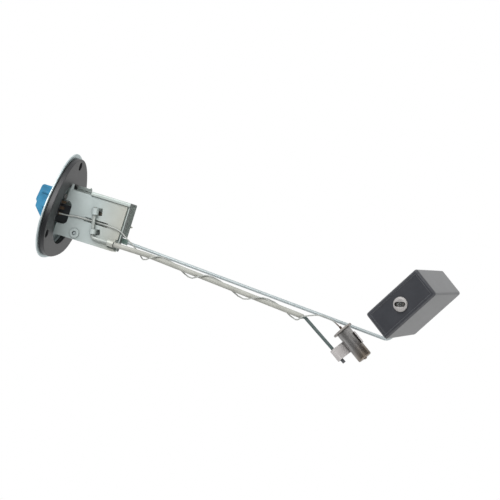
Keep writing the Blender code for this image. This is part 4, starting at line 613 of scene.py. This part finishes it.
@dataclass
class Thermistor:
    """Drawn can with its collar, turned finely about its leaning axis, and the clip that holds it."""

    mouth: Vector = field(default_factory=lambda: Vector((-18.5, -9.95, -201.6)) * MM)
    lean: float = 33.0
    steps: int = 96
    can: Profile = (
        (0.0, 1.6), (4.9, 1.6), (4.9, 22.7), (4.84, 23.05), (4.67, 23.33), (4.4, 23.52), (4.1, 23.6),
        (1.1, 23.6), (1.05, 24.0), (0.88, 24.3), (0.5, 24.4), (0.0, 24.4))
    collar: Profile = (
        (1.0, 0.0), (6.6, 0.0), (6.8, 0.08), (6.9, 0.3), (6.9, 1.0), (6.82, 1.22), (6.6, 1.3), (1.0, 1.3))
    lip_from: float = 5.15 * MM
    lip_height: float = 3.0 * MM
    lip_bend: float = 1.7 * MM
    edge: float = 0.12 * MM
    smooth: float = 35.0

    def axes(self) -> Matrix:
        """Frame at the can's mouth: Z down its axis, X towards the rod, Y across."""
        turn = math.radians(self.lean)
        down = Vector((-math.sin(turn), 0.0, -math.cos(turn)))
        side = Vector((-math.cos(turn), 0.0, math.sin(turn)))
        return Matrix.Translation(self.mouth) @ Matrix((side, down.cross(side), down)).transposed().to_4x4()

    def lathe(self, name: str, profile: Profile, finish: Finish, closed: bool) -> Object:
        """Turn a profile about the can's axis.

        Args:
            name: the piece's name.
            profile: radius and depth of each point, in millimetres.
            finish: the piece's finish.
            closed: the last point joins the first one.

        Returns:
            The turned piece.
        """
        turned = bmesh.new()
        rings = []
        for radius, depth in profile:
            if radius == 0.0:
                rings.append([turned.verts.new((0.0, 0.0, depth * MM))] * self.steps)
                continue
            turns = [math.tau * step / self.steps for step in range(self.steps)]
            rings.append([turned.verts.new((
                radius * MM * math.cos(turn), radius * MM * math.sin(turn), depth * MM)) for turn in turns])
        if closed:
            rings.append(rings[0])
        skin(turned, rings, capped=False)
        bmesh.ops.recalc_face_normals(turned, faces=turned.faces)
        bmesh.ops.transform(turned, matrix=self.axes(), verts=turned.verts)
        return baked(name, from_bmesh(name, turned), finish, self.smooth)

    def clip(self) -> Object:
        """Clip's copy with its free lip bent close to the can."""
        clip = copied("sensor_clip", "sensor_clip_soft")
        axes = self.axes()
        to_can = axes.inverted()
        side = axes.to_3x3().col[0]
        for vertex in clip.data.vertices:
            local = to_can @ vertex.co
            height = self.mouth.y - vertex.co.y
            if local.x < -self.lip_from and height > 0.0:
                vertex.co += side * (self.lip_bend * min(1.0, height / self.lip_height))
        return softened(clip, CLIP_STEEL, self.edge)

    def dress(self) -> None:
        """Turn can and collar and bend the clip's lip."""
        can = self.lathe("thermistor_can_turned", self.can, CAN_TIN, False)
        stands_for(can, Body.SENDER, "thermistor_can")
        collar = self.lathe("can_collar_turned", self.collar, COLLAR_TIN, True)
        stands_for(collar, Body.SENDER, "can_collar")
        stands_for(self.clip(), Body.SENDER, "sensor_clip")


@dataclass
class Gasket:
    """Rubber ring whose outline swells at each screw, grown from its rule."""

    low_radius: float = 25.4 * MM
    lobe: float = 11.4 * MM
    spread: float = 55.0
    bore_radius: float = 20.5 * MM
    bore_place: float = -1.0 * MM
    screw_circle: float = 32.4 * MM
    screw_angles: tuple[float, ...] = (0.0, 102.0, -120.0)
    screw_radius: float = 2.75 * MM
    thickness: float = 3.5 * MM
    edge: float = 0.3 * MM

    def outline(self, recipe: Recipe) -> Socket:
        """Circle pushed out by a bell at each screw."""
        circle = recipe.node("GeometryNodeCurvePrimitiveCircle", {"Resolution": 216, "Radius": 1.0})
        position = recipe.node("GeometryNodeInputPosition")
        axes = recipe.node("ShaderNodeSeparateXYZ", links={0: position}).node.outputs
        turn = recipe.math("DEGREES", recipe.math("ARCTAN2", axes["Y"], axes["X"]))
        bells = None
        for angle in self.screw_angles:
            wrapped = recipe.node("ShaderNodeMath", {"operation": "WRAP", 1: 180.0, 2: -180.0},
                                  {0: recipe.math("SUBTRACT", turn, angle)})
            share = recipe.math("DIVIDE", wrapped, "Spread")
            fall = recipe.math("MULTIPLY", recipe.math("MULTIPLY", share, share), -1.0)
            bell = recipe.math("EXPONENT", fall)
            bells = bell if bells is None else recipe.math("ADD", bells, bell)
        swell = recipe.math("MULTIPLY", bells, "Lobe")
        radius = recipe.math("ADD", "Low Radius", swell)
        pushed = recipe.node("ShaderNodeVectorMath", {"operation": "SCALE"}, {0: position, "Scale": radius})
        return recipe.node("GeometryNodeSetPosition", links={0: circle, "Position": pushed})

    def round_hole(self, recipe: Recipe, radius: str, steps: int, place: tuple[float, float]) -> Socket:
        """Circle for a hole, whose radius is a named input."""
        return recipe.node("GeometryNodeTransform", {"Translation": (*place, 0.0)},
                           {0: recipe.circle(radius, steps)})

    def build(self) -> Object:
        """Fill the outline with its holes, thicken it and round its edges."""
        recipe = Recipe("flange_gasket_moulded", {
            "Low Radius": self.low_radius, "Lobe": self.lobe, "Spread": self.spread,
            "Bore Radius": self.bore_radius, "Screw Radius": self.screw_radius, "Thickness": self.thickness})
        curves = [self.outline(recipe), self.round_hole(recipe, "Bore Radius", 128, (self.bore_place, 0.0))]
        for angle in self.screw_angles:
            turn = math.radians(angle)
            place = (self.screw_circle * math.cos(turn), self.screw_circle * math.sin(turn))
            curves.append(self.round_hole(recipe, "Screw Radius", 32, place))
        sheet = recipe.node("GeometryNodeFillCurve", links={0: recipe.join(*curves)})
        raised = recipe.node("GeometryNodeExtrudeMesh", {"Individual": False},
                             {0: sheet, "Offset Scale": "Thickness"})
        under = recipe.node("GeometryNodeFlipFaces", links={0: sheet})
        whole = recipe.join(raised, under)
        return softened(recipe.grow(whole, NITRILE), NITRILE, self.edge)

    def dress(self) -> None:
        """Put the ring in the node's place."""
        stands_for(self.build(), Body.SENDER, "flange_gasket")


@dataclass
class RivetPair:
    """Two rivets side by side: domed head above, flat upset head below."""

    title: str
    nodes: tuple[str, str]
    middle: float
    half_pitch: float
    row: float
    low: float
    high: float
    head_radius: float = 2.1 * MM
    head_height: float = 0.8 * MM
    shank_radius: float = 1.2 * MM
    steps: int = 28

    def dress(self) -> None:
        """Grow the pair and put it in the two nodes' place."""
        recipe = Recipe(self.title, {
            "Middle": self.middle, "Half Pitch": self.half_pitch, "Row": self.row, "Low": self.low,
            "High": self.high, "Head Radius": self.head_radius, "Head Height": self.head_height,
            "Shank Radius": self.shank_radius})
        first = recipe.math("SUBTRACT", "Middle", "Half Pitch")
        step = recipe.point(X=recipe.math("MULTIPLY", "Half Pitch", 2.0))
        line = recipe.node("GeometryNodeMeshLine", {"Count": 2}, {
            "Start Location": recipe.point(X=first, Y="Row"), "Offset": step})
        ball = recipe.node("GeometryNodeMeshUVSphere", {"Segments": self.steps, "Rings": self.steps // 2}, {
            "Radius": "Head Radius"})
        position = recipe.node("GeometryNodeInputPosition")
        axes = recipe.node("ShaderNodeSeparateXYZ", links={0: position}).node.outputs
        squash = recipe.math("DIVIDE", "Head Height", "Head Radius")
        dome = recipe.math("MULTIPLY", recipe.math("MAXIMUM", axes["Z"], 0.0), squash)
        domed = recipe.point(X=axes["X"], Y=axes["Y"], Z=recipe.math("ADD", dome, "High"))
        head = recipe.node("GeometryNodeSetPosition", links={0: ball, "Position": domed})
        grip = recipe.math("SUBTRACT", "High", "Low")
        centre = recipe.math("MULTIPLY", recipe.math("ADD", "High", "Low"), 0.5)
        shank = self.drum(recipe, "Shank Radius", grip, centre)
        half_foot = recipe.math("MULTIPLY", "Head Height", 0.5)
        foot = self.drum(recipe, "Head Radius", "Head Height", recipe.math("SUBTRACT", "Low", half_foot))
        both = recipe.node("GeometryNodeInstanceOnPoints", links={
            "Points": line, "Instance": recipe.join(head, shank, foot)})
        stands_for(recipe.grow(both, CLIP_STEEL), Body.SENDER, *self.nodes)

    def drum(self, recipe: Recipe, radius: str, depth: Term, centre: Socket) -> Socket:
        """Short cylinder along Z about a middle height, whose radius is a named input."""
        drum = recipe.node("GeometryNodeMeshCylinder", {"Vertices": self.steps},
                           {"Radius": radius, "Depth": depth})
        return recipe.node("GeometryNodeTransform", links={0: drum, "Translation": recipe.point(Z=centre)})


@dataclass
class Winding:
    """Resistance wire wound round the curved card, one ring for each turn."""

    pivot: tuple[float, float] = (-11.0 * MM, -11.8 * MM)
    middle_y: float = 5.2 * MM
    turns: int = 46
    radius: float = 17.5 * MM
    start: float = 17.6
    end: float = 60.4
    half_width: float = 3.42 * MM
    half_depth: float = 0.93 * MM
    corner: float = 0.3 * MM
    wire: float = 0.14 * MM
    smooth: float = 60.0

    def dress(self) -> None:
        """Grow the turns and put them in the node's place."""
        recipe = Recipe("resistor_turns", {
            "Turns": self.turns, "Radius": self.radius, "Start": self.start, "End": self.end,
            "Half Width": self.half_width, "Half Depth": self.half_depth, "Corner": self.corner,
            "Wire": self.wire, "Middle Y": self.middle_y})
        line = recipe.node("GeometryNodeMeshLine", {"Offset": (0.0, 0.0, 0.0)}, {"Count": "Turns"})
        index = recipe.node("GeometryNodeInputIndex")
        share = recipe.math("DIVIDE", index, recipe.math("SUBTRACT", "Turns", 1.0))
        sweep = recipe.math("MULTIPLY", share, recipe.math("SUBTRACT", "End", "Start"))
        turn = recipe.math("RADIANS", recipe.math("ADD", "Start", sweep))
        across = recipe.math("MULTIPLY", recipe.math("SINE", turn), "Radius")
        down = recipe.math("MULTIPLY", recipe.math("COSINE", turn), "Radius")
        place = recipe.point(X=recipe.math("ADD", across, self.pivot[0]), Y="Middle Y",
                             Z=recipe.math("SUBTRACT", self.pivot[1], down))
        points = recipe.node("GeometryNodeSetPosition", links={0: line, "Position": place})
        ring = recipe.node("GeometryNodeCurvePrimitiveQuadrilateral", {}, {
            "Width": recipe.math("MULTIPLY", "Half Width", 2.0),
            "Height": recipe.math("MULTIPLY", "Half Depth", 2.0)})
        bent = recipe.node("GeometryNodeFilletCurve", {"mode": "POLY", "Count": 2}, {
            0: ring, "Radius": "Corner"})
        loop = recipe.swept(bent, recipe.circle("Wire", 6))
        lean = recipe.point(Y=recipe.math("SUBTRACT", math.pi / 2, turn))
        wound = recipe.node("GeometryNodeInstanceOnPoints", links={
            "Points": points, "Instance": loop, "Rotation": lean})
        piece = recipe.grow(wound, RESISTANCE_WIRE, self.smooth)
        stands_for(piece, Body.SENDER, "resistor_winding")


@dataclass
class StopSleeve:
    """Nylon sleeve on the arm where it leaves the housing, with ribs round it."""

    start: tuple[float, float] = (-5.04 * MM, -15.2 * MM)
    bend: tuple[float, float] = (-16.37 * MM, -230.81 * MM)
    distance: float = 26.4 * MM
    length: float = 5.0 * MM
    bore: float = 1.35 * MM
    outer: float = 1.8 * MM
    ribs: int = 5
    rib: float = 0.2 * MM
    steps: int = 40

    def dress(self) -> None:
        """Grow the sleeve with its ribs along Z, and lay it on the arm."""
        recipe = Recipe("stop_sleeve_ribbed", {
            "Length": self.length, "Bore": self.bore, "Outer": self.outer, "Ribs": self.ribs,
            "Rib": self.rib})
        middle = recipe.math("MULTIPLY", recipe.math("ADD", "Bore", "Outer"), 0.5)
        wall = recipe.math("SUBTRACT", "Outer", "Bore")
        section = recipe.node("GeometryNodeCurvePrimitiveQuadrilateral", {}, {
            "Width": wall, "Height": "Length"})
        tube = recipe.swept(recipe.circle(middle, self.steps), section)
        inside = recipe.math("SUBTRACT", "Length", recipe.math("MULTIPLY", "Rib", 2.0))
        pitch = recipe.math("DIVIDE", inside, recipe.math("SUBTRACT", "Ribs", 1.0))
        line = recipe.node("GeometryNodeMeshLine", links={
            "Count": "Ribs", "Offset": recipe.point(Z=pitch),
            "Start Location": recipe.point(Z=recipe.math("MULTIPLY", inside, -0.5))})
        rib = recipe.swept(recipe.circle("Outer", self.steps), recipe.circle("Rib", 8))
        ribs = recipe.node("GeometryNodeInstanceOnPoints", links={"Points": line, "Instance": rib})
        piece = recipe.grow(recipe.join(tube, ribs), GREEN_NYLON)
        along = Vector((self.bend[0] - self.start[0], 0.0, self.bend[1] - self.start[1])).normalized()
        place = Vector((self.start[0], 0.0, self.start[1])) + along * (self.distance + self.length / 2)
        turn = Vector((0.0, 0.0, 1.0)).rotation_difference(along).to_matrix().to_4x4()
        piece.data.transform(Matrix.Translation(place) @ turn)
        stands_for(piece, Body.LEVER, "stop_sleeve")


@dataclass
class PushNut:
    """Domed spring nut on the wire's end: its slot and the two tongues that bite on the wire."""

    axis: Vector = field(default_factory=lambda: Vector((-0.127, -0.959, 0.255)).normalized())
    lie: Vector = field(default_factory=lambda: Vector((0.30, 0.18, -0.94)))
    slot_length: float = 7.4 * MM
    slot_width: float = 2.9 * MM
    slot_depth: float = 3.0 * MM
    round_steps: int = 8
    tongue_width: float = 2.1 * MM
    tongue_reach: float = 1.25 * MM
    # Heights of a tongue's root, knee and tip, and the way from its root to its knee
    tongue_heights: tuple[float, float, float] = (-0.35 * MM, 0.4 * MM, 1.0 * MM)
    knee: float = 1.2 * MM
    sheet: float = 0.4 * MM
    wire: float = 1.12 * MM
    wire_end: float = 1.44 * MM
    wire_tip: float = 0.16 * MM
    wire_taper: float = 0.85
    edge: float = 0.08 * MM

    def frame_on_nut(self) -> Matrix:
        """Frame with its X along the slot and its Z out of the nut, at the crown of the dome."""
        low, high = (Vector(corner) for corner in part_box("push_nut"))
        lie = (self.lie - self.axis * self.lie.dot(self.axis)).normalized()
        across = self.axis.cross(lie)
        turn = Matrix((lie, across, self.axis)).transposed().to_4x4()
        return Matrix.Translation((low + high) / 2) @ turn

    def slot(self, place: Matrix) -> Object:
        """Long rounded cutter through the dome."""
        cutter = bmesh.new()
        half, round_end = self.slot_length / 2, self.slot_width / 2
        outline = []
        for side in (1, -1):
            for step in range(self.round_steps + 1):
                turn = math.radians(-90 + 180 * step / self.round_steps)
                outline.append((side * (half - round_end + round_end * math.cos(turn)),
                                side * round_end * math.sin(turn)))
        skin(cutter, [[cutter.verts.new((x, y, z)) for x, y in outline]
                      for z in (-self.slot_depth, self.slot_depth)])
        bmesh.ops.recalc_face_normals(cutter, faces=cutter.faces)
        bmesh.ops.transform(cutter, matrix=place, verts=cutter.verts)
        return from_bmesh("nut_slot", cutter)

    def tongues(self, place: Matrix) -> Object:
        """Two bent leaves that lean out towards the wire, and the wire's sheared end between them."""
        leaves = bmesh.new()
        bmesh.ops.create_cone(leaves, cap_ends=True, segments=24, radius1=self.wire,
                              radius2=self.wire * self.wire_taper, depth=self.wire_tip,
                              matrix=Matrix.Translation((0.0, 0.0, self.wire_end)))
        root, half = self.slot_length / 2, self.tongue_width / 2
        run = tuple(zip((root, root - self.knee, self.tongue_reach), self.tongue_heights))
        for side in (1, -1):
            skin(leaves, [[leaves.verts.new((side * x, y * half, z - under * self.sheet))
                           for y, under in ((-1, 0), (1, 0), (1, 1), (-1, 1))] for x, z in run])
        bmesh.ops.recalc_face_normals(leaves, faces=leaves.faces)
        bmesh.ops.transform(leaves, matrix=place, verts=leaves.verts)
        # Tongues and wire end are painted near black: painted shade in the slot.
        return softened(from_bmesh("push_nut_tongues", leaves), SLOT_SHADE_STEEL, self.edge)

    def dress(self) -> None:
        """Cut the slot in a copy of the dome and add the tongues."""
        nut = copied("push_nut", "push_nut_slotted")
        place = self.frame_on_nut()
        cutter = self.slot(place)
        cut = nut.modifiers.new("slot", "BOOLEAN")
        cut.operation, cut.solver, cut.object = "DIFFERENCE", "EXACT", cutter
        nut = baked("push_nut_slotted", nut, NUT_STEEL)
        bpy.data.objects.remove(cutter, do_unlink=True)
        stands_for(nut, Body.LEVER, "push_nut")
        stands_for(self.tongues(place), Body.LEVER)


@dataclass
class EndNib:
    """Small bent nib left on the tray's far edge where the blank was parted."""

    centre_x: float = 3.7 * MM
    width: float = 1.3 * MM
    inner_y: float = 7.2 * MM
    sheet: float = 0.8 * MM
    edge_z: float = -43.0 * MM
    reach: float = 1.5 * MM
    edge: float = 0.15 * MM
    taper: float = 0.3
    # Share of the reach and lean in sheet thicknesses, from root to tip
    rows: Profile = ((0.0, 0.0), (0.6, 0.1), (1.0, 0.45))

    def dress(self) -> None:
        """Build the nib, round it and fix it to the housing."""
        nib = bmesh.new()
        rows = []
        for share, lean in self.rows:
            half = self.width / 2 * (1.0 - self.taper * share)
            z = self.edge_z - self.reach * share
            y = self.inner_y + lean * self.sheet
            rows.append([nib.verts.new((self.centre_x + side * half, y + depth * self.sheet, z))
                         for side, depth in ((-1, 0), (1, 0), (1, 1), (-1, 1))])
        skin(nib, rows)
        bmesh.ops.recalc_face_normals(nib, faces=nib.faces)
        stands_for(softened(from_bmesh("tray_end_nib", nib), HOUSING_ZINC, self.edge), Body.SENDER)


@dataclass
class Camera:
    """The photograph's viewpoint, fitted to the flange, the housing and the float."""

    focal_share: float = 3.6
    sensor: float = 36.0
    place: Vector = field(default_factory=lambda: Vector((12.7, -1157.4, -350.9)) * MM)
    right: Vector = field(default_factory=lambda: Vector((0.2957, 0.1815, -0.9379)))
    up: Vector = field(default_factory=lambda: Vector((0.9553, -0.0562, 0.2903)))
    clip: tuple[float, float] = (0.05, 20.0)

    def make(self) -> None:
        """Add the camera and make it the scene's."""
        lens = bpy.data.cameras.new("photo_camera")
        lens.sensor_width = self.sensor
        lens.lens = self.sensor * self.focal_share
        lens.clip_start, lens.clip_end = self.clip
        camera = bpy.data.objects.new("photo_camera", lens)
        bpy.context.scene.collection.objects.link(camera)
        back = self.right.cross(self.up)
        turn = Matrix((self.right, self.up, back)).transposed().to_4x4()
        camera.matrix_world = Matrix.Translation(self.place) @ turn
        bpy.context.scene.camera = camera


@dataclass(frozen=True)
class Lamp:
    """Square soft lamp that faces the object's middle: place and side in metres, power in watts."""

    name: str
    place: tuple[float, float, float]
    side: float
    power: float
    aim: tuple[float, float, float] = (0.0, 0.0, -0.12)

    def make(self) -> None:
        """Add the lamp and turn it to its aim."""
        light = bpy.data.lights.new(self.name, "AREA")
        light.shape = "SQUARE"
        light.size = self.side
        light.energy = self.power
        lamp = bpy.data.objects.new(self.name, light)
        bpy.context.scene.collection.objects.link(lamp)
        lamp.location = self.place
        lamp.rotation_euler = (Vector(self.aim) - Vector(self.place)).to_track_quat("-Z", "Y").to_euler()


@dataclass
class Studio:
    """Pale floor, white surroundings and soft lamps."""

    floor_height: float = -0.62
    floor_size: float = 6.0
    floor_colour: str = "#E6E6E4"
    floor_roughness: float = 0.9
    floor_glow: float = 0.4
    fill: float = 0.5
    viewer: tuple[float, float, float] = (0.0, -1.0, -0.1)
    # What gloss sees, from behind the object round to the viewer
    mirror: tuple[tuple[float, Colour], ...] = (
        (0.0, WHITE), (0.55, (0.92, 0.93, 0.94, 1.0)), (0.8, (0.224, 0.224, 0.224, 1.0)),
        (1.0, (0.14, 0.14, 0.14, 1.0)))
    lamps: tuple[Lamp, ...] = (
        Lamp("high_lamp", (0.65, -0.75, 0.3), 0.7, 8.4), Lamp("low_lamp", (-0.7, -0.5, -0.4), 0.5, 1.2))

    def world(self) -> None:
        """White where the camera looks; for light and gloss, dimmer from the viewer's side."""
        world = bpy.data.worlds.new("studio")
        bpy.context.scene.world = world
        world.use_nodes = True
        tree = world.node_tree
        tree.nodes.clear()
        direction = add_node(tree, "ShaderNodeTexCoord").outputs["Generated"]
        towards_viewer = add_node(tree, "ShaderNodeVectorMath", {
            "operation": "DOT_PRODUCT", 1: self.viewer}, {0: direction})
        share = ranged(tree, towards_viewer.outputs["Value"], -1.0, 1.0)
        glossy = ramp(tree, share, self.mirror)
        fill = add_node(tree, "ShaderNodeBackground", {"Strength": self.fill, "Color": WHITE})
        mirror = add_node(tree, "ShaderNodeBackground", {"Strength": 1.0}, {"Color": glossy})
        white = add_node(tree, "ShaderNodeBackground", {"Strength": 1.0, "Color": WHITE})
        seen = add_node(tree, "ShaderNodeMixShader", links={
            0: rays(tree, "Glossy"), 1: fill.outputs[0], 2: mirror.outputs[0]})
        whole = add_node(tree, "ShaderNodeMixShader", links={
            0: rays(tree, "Camera", "Transmission"), 1: seen.outputs[0], 2: white.outputs[0]})
        add_node(tree, "ShaderNodeOutputWorld", links={0: whole.outputs[0]})

    def floor(self) -> None:
        """Pale floor that the camera and gloss see as white apart from the shadow."""
        sheet = bmesh.new()
        bmesh.ops.create_grid(sheet, x_segments=1, y_segments=1, size=self.floor_size / 2)
        bmesh.ops.translate(sheet, verts=sheet.verts, vec=(0.0, 0.0, self.floor_height))
        floor = from_bmesh("studio_floor", sheet)
        made = bpy.data.materials.new("studio_floor_paint")
        made.use_nodes = True
        tree = made.node_tree
        shader = tree.nodes["Principled BSDF"]
        shader.inputs["Base Color"].default_value = linear(self.floor_colour)
        shader.inputs["Roughness"].default_value = self.floor_roughness
        glow = add_node(tree, "ShaderNodeMath", {"operation": "MULTIPLY", 1: self.floor_glow},
                        {0: rays(tree, "Camera", "Glossy", "Transmission")})
        tree.links.new(glow.outputs["Value"], shader.inputs["Emission Strength"])
        shader.inputs["Emission Color"].default_value = WHITE
        floor.data.materials.append(made)
        floor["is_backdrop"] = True

    def make(self) -> None:
        """Build the studio."""
        self.world()
        self.floor()
        for lamp in self.lamps:
            lamp.make()
        bpy.context.scene.view_settings.view_transform = "Standard"


PLAIN = (
    Dressing("connector", (
        ("terminal_lamp", STAMPED_BRASS), ("terminal_ground", STAMPED_BRASS),
        ("terminal_gauge", STAMPED_BRASS))),
    Dressing("housing", (("front_bush", HOUSING_ZINC), ("rear_bush", HOUSING_ZINC))),
    Dressing("gauge", (
        ("resistor_card", PAPER_BOARD), ("card_eyelet_1", STAMPED_BRASS), ("card_eyelet_2", STAMPED_BRASS),
        ("gauge_lead", GREY_INSULATION), ("wiper_spring", STAMPED_BRASS), ("wiper_contact", STAMPED_BRASS))),
    Dressing("thermistor", (
        ("sensor_rod", ROD_ZINC), ("rod_sleeve", PALE_TUBE), ("thermistor_lead", LEAD_SLEEVING),
        ("can_pin", BROWNED_PIN))),
    Dressing("float arm", (
        ("pivot_shaft", WIRE_ZINC), ("shaft_retainer", CLIP_STEEL), ("float_arm", WIRE_ZINC))),
)

SOFT = (
    SoftEdges(Body.SENDER, (
        ("flange_plate", FLANGE_ZINC, 0.12 * MM), ("connector_body", BLUE_NYLON, 0.7 * MM),
        ("terminal_insulator", DARK_MOULDING, 0.25 * MM), ("housing_tray", TRAY_ZINC, 0.12 * MM),
        ("front_panel", HOUSING_ZINC, 0.12 * MM))),
    SoftEdges(Body.LEVER, (
        ("lever_plate", HOUSING_ZINC, 0.12 * MM), ("float", FLOAT_SKIN, 0.25 * MM))),
)

GROWN = (
    Gasket(),
    RivetPair("connector_rivets", ("connector_rivet_1", "connector_rivet_2"), middle=2.65 * MM,
              half_pitch=7.5 * MM, row=4.4 * MM, low=5.6 * MM, high=9.8 * MM),
    RivetPair("foot_rivets", ("housing_rivet_1", "housing_rivet_2"), middle=1.8 * MM,
              half_pitch=8.5 * MM, row=11.6 * MM, low=4.5 * MM, high=7.1 * MM),
    Thermistor(), Winding(), StopSleeve(), PushNut(), EndNib(),
)


def corners() -> list[list[float]]:
    """Lowest and highest corner of the shown object."""
    return [list(corner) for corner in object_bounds()]


def main() -> None:
    """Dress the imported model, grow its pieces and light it."""
    logging.basicConfig(level=logging.INFO, format="%(name)s: %(message)s")
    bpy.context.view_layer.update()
    Camera().make()
    for part in (*PLAIN, *SOFT, *GROWN):
        part.dress()
    Studio().make()


if __name__ == "__main__":
    main()
